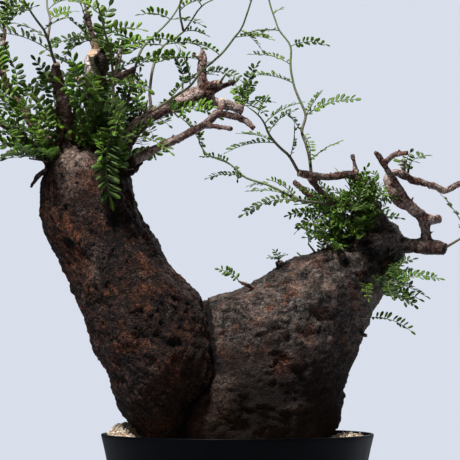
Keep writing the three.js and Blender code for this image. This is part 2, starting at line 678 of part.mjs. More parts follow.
const group = new THREE.Group();
const woodGuard = makeWood(GAP);
group.add(meshOf("pot", makePot(), COLOUR.pot, 0.35));
group.add(meshOf("soil", makeSoil(woodGuard), COLOUR.soil, 0.95));
group.add(meshOf("caudex_and_branches", makeWood(0), COLOUR.bark, 0.9));
makeShoots(woodGuard).forEach(({ name, solid }) => group.add(meshOf(name, solid, COLOUR.leaf, 0.55)));

export default group;
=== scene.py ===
# A potted Operculicarya pachypus bonsai: the fine caudex, branches, foliage, pot and grit around the
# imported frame. Blender objects are in metres; the shapes below are worked out in millimetres.
import math

import bpy
import numpy as np
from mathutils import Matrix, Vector
from mathutils.kdtree import KDTree


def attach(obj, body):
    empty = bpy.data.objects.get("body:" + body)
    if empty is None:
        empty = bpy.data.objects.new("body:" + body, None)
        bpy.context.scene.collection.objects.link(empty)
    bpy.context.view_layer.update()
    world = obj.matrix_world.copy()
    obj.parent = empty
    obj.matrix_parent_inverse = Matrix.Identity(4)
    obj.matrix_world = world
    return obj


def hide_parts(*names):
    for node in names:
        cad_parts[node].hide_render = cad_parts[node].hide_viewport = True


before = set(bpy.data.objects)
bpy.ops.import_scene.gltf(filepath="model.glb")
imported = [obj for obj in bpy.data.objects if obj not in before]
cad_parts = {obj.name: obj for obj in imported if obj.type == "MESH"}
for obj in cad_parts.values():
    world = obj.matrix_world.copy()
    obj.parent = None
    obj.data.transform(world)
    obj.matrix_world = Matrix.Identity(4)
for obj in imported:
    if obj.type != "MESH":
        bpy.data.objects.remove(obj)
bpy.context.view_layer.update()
MM = 0.001
TURN = math.tau
GOLDEN = TURN * 0.381966

# The pot and its drain holes have the frame's measures, and "rounded" is how far each corner is eased
POT = {
    "height": 150, "rim": 102.5, "base": 73, "wall": 2.5, "floor": 4, "flare_height": 14, "flare_out": 0.6,
    "rounded": {"foot": 1.2, "flare": 6, "rim": 1.3, "lip": 0.9, "floor": 2}, "sides": 160,
}
DRAIN = {"count": 4, "radius": 6, "circle": 45, "sides": 32}
# The grit: a heap rises between the "heaped" shares of a slope from the wall, and the bed under the grains
# keeps the gap from the pot
SOIL = {"below_rim": 5, "slope": 30, "heaped": (-0.35, 0.3), "grit": 0.9, "gap": 0.35}
SURFACE = POT["height"] - SOIL["below_rim"]
BED = {"sides": 96, "rings": 26, "below": 1.2, "tone": 0.22}
# Heaps against the caudex: the x and y of the middle, the radii along them, and the height
MOUNDS = [[-84, -8, 30, 38, 13.2], [84, 2, 24, 34, 5.4]]
GRAIN = {"pitch": 2.05, "least": 0.75, "most": 1.55, "from_wall": 1.6, "sunk": 0.5, "seed": 11}
# A grain before it is roughened: an icosahedron
RATIO = (1 + 5**0.5) / 2
GRAIN_CORNERS = [np.roll((a, b, 0), k) for k in range(3) for b in (RATIO, -RATIO) for a in (-1, 1)]
GRAIN_FACES = [
    (0, 11, 5), (0, 5, 1), (0, 1, 7), (0, 7, 10), (0, 10, 11), (1, 5, 9), (5, 11, 4), (11, 10, 2),
    (10, 7, 6), (7, 1, 8), (3, 9, 4), (3, 4, 2), (3, 2, 6), (3, 6, 8), (3, 8, 9), (4, 9, 5), (2, 4, 11),
    (6, 2, 10), (8, 6, 7), (9, 8, 1),
]
# Colours of the grains by their tone from 0 to 1
GRIT_TONES = [
    (0.0, (0.28, 0.2, 0.14)), (0.3, (0.6, 0.47, 0.34)), (0.6, (0.82, 0.7, 0.55)),
    (0.85, (0.88, 0.82, 0.72)), (1.0, (0.56, 0.27, 0.11)),
]

LIMB = {"rings": 150, "sides": 180, "voxel": 1.39}
# The caudex's bark: the sizes of its plates, chips, ridges and lumps along x, y and z, how wide the cracks
# are as a share of a plate, and how far the left limb's plates lean along x for each mm above a height
BARK = {
    "plate": (6.5, 6.5, 7.5), "chip": (3.2, 3.2, 3.4), "ridge": (10, 10, 4.2),
    "fine_ridge": (5.5, 5.5, 2.4), "lump": (24, 24, 30), "crack": 0.22, "small_crack": 0.3,
    "lean": 0.43, "lean_from": 230,
}
# Heights on the caudex between which each of these sets in, or fades where the first is the higher one
LEVELS = {
    "front": (258, 250), "crease": (142, 160), "back_crease": (160, 205), "crease_top": (262, 248),
    "folds": (160, 176), "folds_top": (226, 208), "grey": (170, 260), "rust": (160, 220),
}
# Heights over which the caudex grows darker towards its foot: partly a moist stain, partly painted shade
DAMP_AND_SHADE = (258, 174)
# Folds of the left limb's bark: their pitch, and how far from the crease they set in and end
FOLDS = {"pitch": 4.6, "outer": (-17, -4), "inner": (-1.5, -3)}
# Branches: how far up one its collar of bark reaches, the least radius of a cut end that shows bare wood,
# and how far from its tip a rotted end is dark
WOOD = {
    "sides": 16, "step": 1.6, "voxel": 0.72, "collar": 13, "plate": (4.2, 4.2, 5.2), "crack": 0.3,
    "least_cut": 2.2, "rot": 7,
}
SPURS = {"each": 9, "least": 1.4, "most": 3.2, "radius": 0.95, "sides": 8, "seed": 5}
TWIG = {"sides": 6, "long_root": 1.25, "side_root": 0.95, "long_end": 0.5, "short": (1.15, 0.6)}
SHORT = {"fan": 1.05, "fan_step": 0.22, "step": 4, "more_step": 2.2, "least": 0.85, "vary": 0.25}
# A leaf: at the usual length its leaflets have their own size, a share of them is lost, and they open by
# so many degrees at its root and by "closing" fewer at its tip
LEAF = {
    "arch": 0.5, "bow": 0.09, "petiole": 3.5, "stalk": (0.42, 0.22), "usual": 36, "pitch": 0.56,
    "leaflet": 6.9, "broad": 0.235, "thick": 0.16, "raised": 0.38, "lost": 0.03, "open": 72, "closing": 20,
}
# A leaflet's rows from base to tip, as the share of its length and of its half width
LEAFLET_ROWS = [(0.07, 0.26), (0.27, 0.76), (0.5, 0.99), (0.73, 0.95), (0.91, 0.6)]
FACE = {"middle": 8, "up": 0.75}
# Heights between which the leaves grow yellower
YOUNG = (400, 500)
# Which of a foliage piece's materials its stems have
STEM = 1

CAMERA = {
    "place": (-5.6, -3000, 270), "aim": (-5.6, 0, 302.6), "lens": 313, "sensor": 36, "clip": (0.1, 30),
}
CAMERA_WAY = np.array([0.0, -1.0, 0.0])
# Lamps: the place and the point aimed at in metres, the size, the power in watts and the angle in degrees
LAMPS = {
    "key": {"place": (-0.55, -0.7, 2.1), "at": (0, 0, 0.35), "size": 0.3, "power": 5.0, "angle": 45},
    "back": {"place": (0.8, 1.6, 1.3), "at": (0, 0, 0.35), "size": 1.2, "power": 12, "angle": 180},
}
FLOOR = {"radius": 2000, "sides": 96, "below": 0.4}

# Level slices of the caudex, from the buried end of each limb to its head: x, y and z of the middle, and
# the radii along X and Y
LEFT_LIMB = [
    [-52, -6, 106, 10, 12], [-55, -8, 130, 16, 20], [-58, -12, 155, 20, 29], [-60, -14, 175, 29, 35],
    [-57, -16, 200, 41.5, 42], [-62, -16, 215, 46, 44], [-69, -16, 237, 46, 44],
    [-75, -15, 253, 46.5, 43], [-88, -13, 272, 43, 41], [-98, -12, 288, 40, 39],
    [-106, -11, 304, 38, 38], [-111, -9, 324, 37, 37], [-113.5, -7, 342, 34.5, 34],
    [-114, -6, 354, 29, 29], [-118, -6, 363, 18, 19], [-122, -6, 367, 9, 10],
]
RIGHT_LIMB = [
    [9, 6, 106, 30, 26], [9, 8, 130, 52, 40], [9.5, 10, 158, 67, 48], [12, 10, 185, 70.5, 50],
    [17, 10, 208, 71.5, 49], [25, 10, 229, 71, 48], [36, 10, 245, 68.5, 46], [44, 10, 252, 65, 45],
    [60, 10, 259, 55, 43], [68, 9, 267, 50.5, 41], [83, 8, 281, 41, 37], [94, 7, 289, 31, 32],
    [104, 6, 298, 19, 22], [110, 5, 304, 11, 13], [113, 5, 308, 6, 7],
]
# The web of wood that fills the foot of the crease between the limbs
WEB = [
    [-40, 0, 118, 20, 26], [-39, 0, 140, 24, 32], [-38, 0, 160, 25, 35], [-31, 0, 178, 22, 36],
    [-25, 3, 192, 14, 33], [-21, 4, 202, 5, 26],
]
# The crease between the limbs, seen from the front, from top to bottom: x and z
CREASE = [
    [-24, 256], [-20, 228], [-15.4, 201], [-19.9, 190], [-26.6, 180], [-34.9, 173], [-43.1, 152],
    [-46, 140],
]
# Marks on the front of the caudex: x and z, the radii along x and z, how deep each goes in, and how
# much rust, paleness and darkness it has; the darkness of the marks that go in is painted shade in their
# holes and hollows
MARKS = [
    [-125, 293, 4.5, 4, 2.6, 0, 0, 1],
    [-71, 243, 5, 6, 1.8, 0.3, 0, 0.6],
    [-47, 218, 9, 4, 2.4, 0, 0, 0.9],
    [-117, 362, 4, 3.5, 2.5, 0, 0, 1],
    [-121, 357, 19, 13, -0.8, 0.1, 1, 0],
    [-128, 338, 9, 13, -0.3, 0.3, 0.4, 0],
    [-110, 347, 7, 12, -0.5, 0.9, 0.15, 0],
    [-137, 318, 7, 20, -0.6, 0.7, 0.1, 0],
    [-107, 276, 8, 20, -0.5, 0, 0.25, 0],
    [-118, 335, 10, 8, -0.3, 0.5, 0.3, 0],
    [-88, 300, 10, 26, 0.5, 0, 0, 0.45],
    [-92, 330, 9, 12, 0.3, 0, 0, 0.5],
    [47, 277, 8, 4, -0.5, 0.5, 0.55, 0],
    [65, 273, 6, 5, -0.5, 0.6, 0.4, 0],
    [43, 261, 7, 4, -0.5, 0.8, 0.4, 0],
    [42, 269, 4, 3, -0.3, 0.9, 0.2, 0],
    [70, 258, 5, 4, -0.3, 0.8, 0.2, 0],
    [15, 234, 6, 4, -0.4, 0.9, 0.2, 0],
    # These two push the bark out beside the lower crease, and their slight paleness is painted light on
    # the left limb's shadow
    [-14, 176, 14, 22, -1.5, 0.1, 0.14, 0],
    [-26, 158, 12, 14, -2.0, 0.1, 0.1, 0],
    [81, 279, 4, 4.5, 3.2, 0, 0, 1],
    [62, 241, 7, 6, 2.0, 1, 0, 0.2],
    [107, 286, 17, 17, 0, 0.25, 0, 0.72],
    [32, 204, 9, 12, 2.4, 0.9, 0, 0.3],
    [67, 262, 4, 12, -1.6, 0, 0.6, 0],
    [72, 248, 3, 9, -1, 0, 0.5, 0],
    [42, 171, 12, 3, -1.2, 0, 0.15, 0],
    [-22, 200, 3.5, 16, -0.8, 0, 0.35, 0],
    [-55, 232, 4, 17, 1.4, 0.2, 0, 0.5],
    [-92, 270, 5, 14, 1, 0, 0, 0.45],
    [12, 225, 12, 4, 0.8, 0, 0, 0.15],
    [-8, 190, 10, 5, -1.2, 0, 0.25, 0],
    [52, 226, 14, 4, 1, 0.2, 0, 0.15],
    [-8, 243, 11, 2.2, 1, 0, 0, 0.7],
]

# Woody branches: the depth y at each end, then x, z and the radius at each point from root to cut end
BRANCHES = {
    "left_upright": [[-8, -16], [
        [-105, 352, 9], [-105, 392, 8.5], [-106, 415, 8], [-106, 428, 7.5], [-106, 437, 3],
        [-109, 450, 2], [-113, 464, 2.6]]],
    "left_upright_knob": [[-14, -15], [
        [-106, 417, 7.6], [-106, 425, 8.6], [-105, 432, 7.6], [-105, 437, 4]]],
    "left_upright_stub": [[-13, -26], [[-106, 424, 4], [-108, 434, 3.6]]],
    "left_inner_stub": [[-8, -16], [[-104, 409, 3.4], [-90, 416, 2.9], [-76, 423, 2.4]]],
    "left_inner_snag": [[-12, -16], [[-92, 415, 2.3], [-88, 432, 2], [-86, 444, 2.1]]],
    "left_outer_stub": [[-12, -28], [[-107, 406, 3.4], [-119, 415, 2.8]]],
    "left_slant": [[-14, -38], [
        [-126, 350, 8], [-129, 385, 6.5], [-129, 393, 6], [-133, 411, 5], [-135, 419, 4.4],
        [-134, 426, 2.6]]],
    "left_back": [[2, 32], [
        [-128, 348, 6], [-156, 386, 4], [-171, 407, 3], [-177, 420, 2.6], [-178, 434, 1.9],
        [-176, 456, 1.4]]],
    "left_low": [[-10, -46], [[-134, 350, 5], [-162, 372, 3], [-178, 383, 2.4], [-189, 390, 2]]],
    "left_dead_twig": [[-14, -26], [[-134, 349, 3], [-146, 345, 2.2], [-154, 334, 1.3]]],
    "long": [[4, 34], [
        [-100, 350, 9], [-84, 370, 6.5], [-68, 387, 5.2], [-54, 394, 5], [-42, 400, 5.3],
        [-31, 405, 6.5], [-25, 405, 6], [-19, 400, 4.4], [-8, 398, 4], [4, 394, 3.7]]],
    "long_snag": [[21, 16], [
        [-27, 404, 5], [-26, 412, 4.8], [-27, 422, 3.7], [-26, 433, 3.4], [-27, 441, 1.2]]],
    "long_snag_horn": [[17, 12], [[-27, 431, 1.6], [-34, 435, 1]]],
    "long_stub": [[21, 4], [[-24, 408, 3], [-18, 413, 2.6], [-13, 413, 2.5]]],
    "long_fork": [[22, 0], [[-25, 404, 3.4], [-13, 410, 2.3], [-2, 414, 1.8]]],
    "low": [[-8, -44], [
        [-94, 340, 7], [-82, 348, 4.8], [-73, 356, 3.9], [-59, 364, 3.4], [-41, 372, 3.1],
        [-24, 381, 2.8], [-15, 388, 2.8], [-5, 387, 2.7], [6, 383, 2.6], [12, 377, 2.1]]],
    "low_fork": [[-32, -18], [[-15, 387, 2.8], [-12, 394, 2.6], [-12, 399, 2.6]]],
    "low_twig": [[-28, -42], [[-26, 380, 2.4], [-16, 379, 2], [-4, 377, 1.8]]],
    "bent": [[4, -26], [
        [109, 296, 7], [104, 314, 5.4], [97, 325, 4.6], [90, 340, 4.2], [84, 344, 3.3],
        [76, 343, 2.8], [65, 342, 2.8], [55, 343, 3.3], [45, 345, 2.9]]],
    "bent_stub": [[-7, -9], [[90, 340, 2], [86, 359, 1.5]]],
    "clump_upper": [[0, -22], [
        [104, 300, 5], [95, 316, 3.8], [81, 321, 3], [65, 328, 2.6], [54, 341, 2.6]]],
    "clump_back": [[8, 34], [
        [92, 288, 5], [84, 309, 3.4], [69, 316, 3], [60, 324, 2.6], [43, 340, 2.1]]],
    "right_low": [[5, -14], [
        [105, 292, 8.5], [118, 292, 6.6], [129, 291, 5.6], [140, 290.5, 6.2], [149, 289.5, 5.6],
        [155, 288, 4.2]]],
    "knuckle": [[-6, -34], [
        [141, 291, 4.8], [141, 300, 3.6], [140, 306, 3.6], [137, 313, 4.4], [129, 320, 4.4],
        [122, 331, 2.9], [114, 343, 2.7], [109, 351, 2.5], [105, 357, 2.1], [102, 360, 1.3]]],
    "knuckle_stub": [[-14, -6], [[138, 311, 4], [146, 310, 3.8], [151, 311, 3.6]]],
    "knuckle_fork": [[-28, -40], [[109, 351, 2.2], [116, 358, 1.8], [126, 359, 1.7]]],
    "pale": [[-18, 20], [
        [129, 319, 4], [120, 323, 4], [115, 333, 3.6], [112, 341, 3.1], [118, 345.5, 3],
        [126, 343, 3.4], [131, 340, 3.1], [140, 338, 2.8], [149, 335, 2.7], [157, 332, 2.6],
        [162, 335, 2.5], [168, 338, 2.2], [175, 343, 2], [181, 351, 1.6]]],
    "pale_stub": [[-2, -6], [[124, 344, 2.2], [125, 355, 1.6]]],
    "flank_twig": [[6, -2], [[84, 226, 3], [97, 223.5, 1.8]]],
    "saddle_twig": [[2, -18], [[19, 248, 2.6], [12, 259, 2], [3, 263, 1.4]]],
    "saddle_stub": [[6, 0], [[36, 264, 3], [31, 279, 2.6]]],
}
# How pale a branch's bark is at its root and at its end: 0 is red-brown, 1 bleached, and less than 0 dark;
# right_low's darkness is painted shade
PALENESS = {
    "pale": (0.35, 0.35), "pale_stub": (0.6, 0.6), "knuckle": (0.15, 0.3), "knuckle_stub": (0.5, 0.4),
    "long": (-0.4, 0.3), "long_snag": (0.4, 0.4), "long_fork": (0.1, -0.2), "low": (0.3, 0.4),
    "left_upright": (0.2, 0.1), "left_upright_stub": (0.9, 1.0), "left_upright_knob": (0.2, 0.1),
    "left_dead_twig": (-0.4, -0.4), "left_slant": (0.0, 0.1), "left_inner_stub": (-0.1, 0.0),
    "left_inner_snag": (0.7, 1.0), "left_outer_stub": (0.8, 1.0), "bent": (0.15, 0.1),
    "right_low": (-0.55, -0.3), "clump_upper": (0.1, 0.1), "clump_back": (0.1, 0.1),
}
USUAL_PALENESS = (0.2, 0.2)
# Patches on the front of the branches: x and z, the radii along x and z, and how pale; the one below 0, on
# the knob's right side, is painted shade
WOOD_MARKS = [
    [-111, 421, 9, 8, 1.0], [-100, 429, 6, 10, -0.6], [-107, 436, 4, 3, 1.0], [-42, 405, 15, 5.5, 0.8],
    [-14, 402, 7, 3, 0.7],
]
# Branches whose end is rotted and dark, with no face of pale wood
ROTTED = ["long", "long_fork", "left_dead_twig", "right_low", "left_inner_stub", "left_upright"]

# Long shoots: the size of the leaflets, then twigs of the depth y at each end, x and z along it, and its
# leaves as the number of the point that each grows from and the way x, y, z to its tip
LONG_SHOOTS = {
    "shoot_left_whip": [1.0,
        [[-37, -66], [
            [-134, 423], [-138, 434], [-140, 443], [-143, 450], [-148, 457], [-153, 464], [-158, 472],
            [-162, 481], [-164, 490]],
         [[1, -39, -12, 13], [2, -29, 6, 13], [3, 17, -9, 8], [5, -26, -5, -8], [6, -14, 8, 9],
          [7, 17, -6, 9], [8, -14, -4, 14]]],
        [[-44, -8], [[-140, 443], [-139, 458], [-141, 466], [-142, 475], [-144, 484], [-146, 494]],
         [[1, 17, 9, 7], [2, 19, 9, 9], [3, -16, 5, 12], [4, 18, 3, 12], [5, -7, -5, 19]]],
    ],
    "shoot_left_top": [0.95,
        [[-16, -6], [[-112, 462], [-115, 475], [-118, 486], [-121, 497]],
         [[1, -24, -9, 4], [1, 22, 8, 8], [2, -20, 9, 12], [2, 19, -9, 10], [3, -12, -3, 19]]],
    ],
    "shoot_left_middle": [1.0,
        [[-18, -52], [
            [-98, 350], [-93, 385], [-93, 420], [-95, 437], [-98, 447], [-101, 460], [-105, 475],
            [-108, 497]],
         [[1, 28, -14, 8], [2, 30, -11, 7], [3, -27, -12, 7], [4, 27, 5, 4], [5, -20, 14, 12],
          [6, 22, -8, 7], [6, -20, -12, 6], [7, 8, -4, 19]]],
    ],
    "shoot_left_inner": [0.95,
        [[2, 46], [
            [-96, 350], [-86, 385], [-77, 425], [-72, 440], [-66, 447], [-51, 463], [-41, 480],
            [-38, 489]],
         [[1, 28, 12, 8], [2, 30, -9, 8], [3, -27, -8, 12], [4, 24, -10, -5], [5, -22, -8, 3],
          [5, 24, 10, -4], [6, -19, -6, 8], [6, 20, 4, 6], [7, -7, -4, 19]]],
    ],
    "shoot_left_fork": [0.85,
        [[11, 56], [[-65, 388], [-66, 410], [-63, 429], [-56, 443], [-41, 454], [-27, 474], [-19, 479]],
         [[1, -24, 12, 8], [2, 40, -7, 1], [3, 30, -8, -2], [3, -22, -9, -4], [4, 17, -8, -3],
          [5, -15, 6, 12], [6, 17, -4, 7]]],
        [[41, 32], [[-41, 454], [-44, 469], [-43, 480]], [[1, 15, 8, 9], [2, -11, -5, 16]]],
    ],
    "shoot_long_whip": [0.8,
        [[-20, -74], [
            [-97, 352], [-84, 373], [-70, 386], [-51, 398], [-42, 404], [-35, 409], [-27, 419],
            [-13, 431], [-2, 444], [2, 449], [10, 470], [16, 486], [18, 496]],
         [[1, 34, -12, -13], [3, 15, -13, 16], [5, -9, -10, 27], [6, 30, -5, -7], [7, -24, -8, 9],
          [8, 26, -8, -2], [9, 15, 10, -13], [10, -18, 6, 8], [11, 15, 3, 10], [12, -6, -3, 17]]],
    ],
    "shoot_right_whip": [0.72,
        [[-22, 24], [
            [55, 342], [54, 354], [51, 367], [48, 376], [51, 388], [46, 402], [42, 413], [40, 427],
            [40, 441], [32, 453], [27, 466], [22, 484], [19, 493]],
         [[1, 22, -4, 14], [3, 6, -10, -22], [3, -9, -12, 12], [4, 37, -6, 12], [4, 12, 8, 18],
          [6, -33, -8, 5], [7, -29, 6, 8], [8, 26, -5, 1], [9, -29, -6, -4], [10, 7, 8, 4],
          [11, 14, 4, 7], [11, -13, -4, 8], [12, 2, -4, 16]]],
    ],
    "shoot_middle": [0.72,
        [[-26, -52], [[46, 345], [39, 356], [28, 367], [23, 374], [20, 381], [15, 387], [9, 392]],
         [[1, 3, -6, 23], [2, -35, -10, -7], [2, -26, 9, 7], [3, 19, 7, 17], [4, 27, -6, 15],
          [5, 7, -9, 13], [6, -9, -9, 3]]],
    ],
    "shoot_low_left": [0.72,
        [[-9, 22], [
            [80, 321], [66, 322], [49, 325], [44, 326], [25, 336], [7, 342], [-5, 352], [-24, 361],
            [-29, 369]],
         [[2, -45, -8, -11], [3, -34, 4, 6], [3, -20, -7, 14], [4, -16, 5, 0], [5, -29, 5, 0],
          [6, -21, -5, 6], [6, 5, 5, -11], [8, -2, -5, 14]]],
    ],
}

# Short leafy shoots by the piece that holds them: a point, or a branch and the share along it, then the
# way of the twig, its length, the number of its leaves in the frame and their length. What may follow is
# the shoot's own: the way of a leaf by its number, and for such a leaf the size of its leaflets and their
# "shape", which is how far apart and how broad they are; the way that its faces look; and as "more" how
# many leaves it gets beyond the frame's, and then none is dropped for a clear spot
SHORT_SHOOTS = {
    "left_head": [
        [(-134, -14, 353), (-0.85, -0.45, 0.1), 24, 3, 33],
        [(-116, -16, 362), (-0.05, -0.3, 0.95), 22, 3, 34],
        [(-106, -14, 352), (0.15, -0.5, 0.9), 22, 3, 34],
        [(-103, -18, 349), (0.3, -0.55, 0.78), 44, 2, 48,
         {0: (-3, -8, -53), "leaflet": 1.65, "shape": (0.45, 0.6), "face": (0.2, -1, 0), "more": 0}],
        [(-92, -14, 346), (0.8, -0.6, 0.1), 18, 3, 34],
        [(-132, 8, 352), (-0.6, 0.75, 0.3), 22, 3, 34],
        [(-113, 12, 354), (-0.1, 0.9, 0.4), 22, 3, 34],
        [(-96, 8, 350), (0.6, 0.75, 0.3), 20, 3, 34],
    ],
    "left_crown": [
        [("left_low", 0.35), (-0.4, -0.8, 0.4), 16, 3, 33],
        [("left_low", 0.68), (-0.2, -0.5, -0.8), 13, 2, 30],
        [("left_low", 0.97), (-0.7, -0.3, 0.5), 14, 3, 30],
        [("left_back", 0.3), (-0.6, 0.6, 0.4), 15, 3, 33],
        [("left_back", 0.58), (-0.8, 0.0, 0.4), 14, 3, 32],
        [("left_back", 0.97), (-0.2, 0.3, 0.9), 12, 3, 26],
        [("left_slant", 0.3), (-0.8, -0.5, 0.1), 17, 3, 33],
        [("left_slant", 0.62), (-0.5, -0.8, 0.2), 15, 2, 32],
        [("left_upright", 0.32), (-0.3, -0.9, 0.2), 20, 3, 34],
        [("left_upright", 0.36), (0.4, 0.9, 0.2), 20, 3, 34],
        [("left_upright", 0.5), (0.8, 0.3, 0.4), 18, 3, 32],
        [("left_upright", 0.75), (-0.8, 0.5, 0.3), 14, 2, 32],
    ],
    "long_crown": [
        [("long", 0.17), (0.2, 0.8, 0.6), 18, 3, 34],
        [("long", 0.36), (0.4, -0.7, -0.5), 16, 2, 34],
        [("long", 0.45), (0.0, 0.5, 0.9), 16, 3, 32],
        [("long", 0.97), (0.6, 0.3, 0.7), 12, 3, 28],
        [("long_stub", 0.95), (0.5, -0.5, 0.7), 10, 2, 30],
        [("low", 0.3), (0.2, -0.8, -0.5), 14, 2, 32],
    ],
    "right_head": [
        [(80, -8, 276), (-0.6, -0.4, 0.75), 26, 3, 33],
        [(92, -10, 284), (-0.2, -0.55, 0.85), 24, 3, 32],
        [(98, 22, 286), (-0.2, 0.9, 0.4), 22, 3, 32],
        [("clump_upper", 0.35), (-0.3, -0.8, 0.6), 14, 3, 31],
        [("clump_back", 0.4), (-0.4, 0.7, 0.5), 14, 3, 30],
        [("clump_back", 0.12), (0.6, 0.6, 0.6), 18, 3, 30],
        [("bent", 0.2), (0.3, -0.4, 0.9), 14, 2, 27],
    ],
    "right_arm": [
        [("pale", 0.4), (0.2, 0.1, 0.95), 11, 2, 21],
        [("right_low", 0.95), (0.85, -0.1, 0.5), 30, 3, 30, {0: (-20, -5, 30)}],
    ],
    "right_flank": [
        [(94, -8, 266), (0.75, -0.6, -0.1), 34, 3, 34],
        [(92, 18, 260), (0.7, 0.6, -0.2), 34, 3, 33],
        [(86, -8, 237), (0.95, -0.3, 0), 11, 1, 34,
         {0: (34, -4, -10), "leaflet": 0.72, "shape": (1.0, 0.85), "more": 0}],
    ],
}
# More shoots of the same kind, which thicken the crown where the photo shows no gap
THICKENING = {
    "left_crown": [
        [("left_upright", 0.06), (-0.2, -0.9, 0.3), 27, 3, 36],
        [("left_upright", 0.16), (0.55, -0.8, 0.2), 26, 3, 36],
        [("left_upright", 0.26), (0.1, -0.9, 0.3), 24, 3, 34],
        [("left_upright", 0.3), (-0.65, -0.7, 0.3), 22, 3, 34],
        [("left_upright", 0.2), (-0.2, 0.9, 0.3), 24, 3, 36],
        [("left_slant", 0.1), (-0.5, -0.8, 0.3), 24, 3, 34],
        [("left_slant", 0.4), (0.45, -0.8, 0.3), 20, 3, 32],
    ],
    "long_crown": [
        [("long", 0.05), (0.3, -0.8, 0.5), 26, 3, 36],
        [("long", 0.2), (0.2, -0.6, 0.8), 20, 3, 34],
        [("long", 0.1), (0.1, 0.7, 0.7), 24, 3, 36],
    ],
    "right_head": [
        [(66, 2, 276), (-0.6, -0.3, 0.75), 22, 3, 29],
        [(78, 4, 288), (-0.3, -0.2, 0.95), 20, 3, 30],
        [(94, -4, 296), (-0.1, -0.5, 0.9), 16, 3, 28],
        [(60, 16, 272), (-0.7, 0.4, 0.65), 22, 3, 29],
        [(84, -2, 288), (-0.55, -0.5, 0.6), 22, 3, 29],
        [(100, -6, 294), (-0.5, -0.7, 0.5), 24, 3, 29],
        [(88, 10, 290), (-0.5, 0.3, 0.7), 20, 3, 29],
        [("clump_upper", 0.18), (-0.5, -0.7, 0.5), 16, 3, 30],
        [("clump_upper", 0.5), (-0.2, -0.6, -0.4), 14, 3, 28],
        [("clump_back", 0.5), (-0.3, -0.5, -0.3), 14, 3, 30],
        [("bent", 0.1), (-0.5, -0.8, 0.3), 18, 3, 28],
        [("saddle_stub", 0.9), (-0.2, -0.4, 0.9), 4, 2, 9, {"more": 1}],
        [("saddle_twig", 0.95), (-0.9, -0.2, 0.5), 4, 1, 16,
         {0: (-15, -4, 9), "face": (0, -1, 0.4), "more": 0}],
    ],
}
# Spots that stay in sight of the camera and in the key light: x, y and z, and the radius kept clear
CLEAR = [
    [-121, -42, 357, 17], [-107, -22, 427, 12], [-133, -34, 417, 6], [-129, -28, 392, 5],
    [-78, -8, 378, 5], [-62, 4, 390, 6], [-42, 14, 400, 9], [-27, 16, 406, 9], [-9, 22, 399, 8],
    [-27, 14, 425, 7],
    [130, -18, 291, 10], [138, -24, 310, 9], [118, -30, 336, 8], [34, 60, 284, 16], [54, 60, 280, 8],
    [112, 60, 240, 10], [-66, 100, 348, 8], [-56, 100, 353, 8], [-46, 100, 358, 8], [-66, -12, 361, 5],
    [-52, -18, 367, 5], [-36, -24, 375, 5], [110, -26, 289, 12],
]
# How the leaves of each piece grow: how many more a short shoot gets than in the frame, the least rise of
# a leaf as a share of its length, the size of its leaflets, its length, how far its face turns from up to
# the front, and how light its green is; the darker green of right_flank is partly painted shade
GROWTH = {
    "left_head": (8, 0.15, 0.96, 1.1, 0.9, 0.42), "left_crown": (4, -0.25, 0.94, 1.15, 0.9, 0.45),
    "long_crown": (4, -0.2, 0.85, 1.0, 0.8, 0.45), "right_head": (6, 0.05, 0.75, 0.9, 0.8, 0.5),
    "right_arm": (1, -0.5, 1.0, 0.9, 0.8, 0.35), "right_flank": (8, -0.35, 0.84, 0.97, 0.9, 0.15),
}
# The last two for the long shoots
LONG = {"level": 0.5, "tone": 0.45}


def draw(a, b):
    """The same number from 0 to 1 for the same two whole numbers."""
    wave = math.sin(a * 127.1 + b * 311.7) * 43758.5453
    return wave - math.floor(wave)


def unit(v):
    v = np.asarray(v, float)
    return v / np.maximum(np.linalg.norm(v, axis=-1, keepdims=True), 1e-9)


def smooth(low, high, value):
    share = np.clip((value - low) / (high - low), 0, 1)
    return share * share * (3 - 2 * share)


def turned(v, axis, angle):
    across = np.cross(axis, v)
    return v * math.cos(angle) + across * math.sin(angle) + axis * (axis @ v) * (1 - math.cos(angle))


# Noise

def lattice(cell, seed):
    """A repeatable number from 0 to 1 for each whole-numbered cell."""
    mixed = (cell[..., 0] * 73856093) ^ (cell[..., 1] * 19349663) ^ (cell[..., 2] * 83492791)
    mixed = (mixed ^ (seed * 2654435761)) & 0xFFFFFFFF
    mixed = ((mixed ^ (mixed >> 15)) * 2246822519) & 0xFFFFFFFF
    mixed = ((mixed ^ (mixed >> 13)) * 3266489917) & 0xFFFFFFFF
    return ((mixed ^ (mixed >> 16)) & 0xFFFFFF) / float(0xFFFFFF)


def cloud(points, size, seed):
    """Smooth noise from about -1 to 1, with features of that size in millimetres along each axis."""
    scaled = points / np.asarray(size, float) + 37.3
    cell = np.floor(scaled).astype(np.int64)
    inside = scaled - cell
    weight = inside * inside * inside * (inside * (inside * 6 - 15) + 10)
    total = np.zeros(len(points))
    for corner in np.ndindex(2, 2, 2):
        share = np.prod(np.where(corner, weight, 1 - weight), axis=1)
        total += share * lattice(cell + np.array(corner), seed)
    return 2 * total - 1


def clouds(points, size, seed, octaves=3):
    total = sum(cloud(points, np.asarray(size) / 2**i, seed + i) / 2**i for i in range(octaves))
    return total / 1.5


def shifts(noise, points, size, seed):
    """Noise of that kind along each of the three axes."""
    return np.column_stack([noise(points, size, seed + k) for k in range(3)])


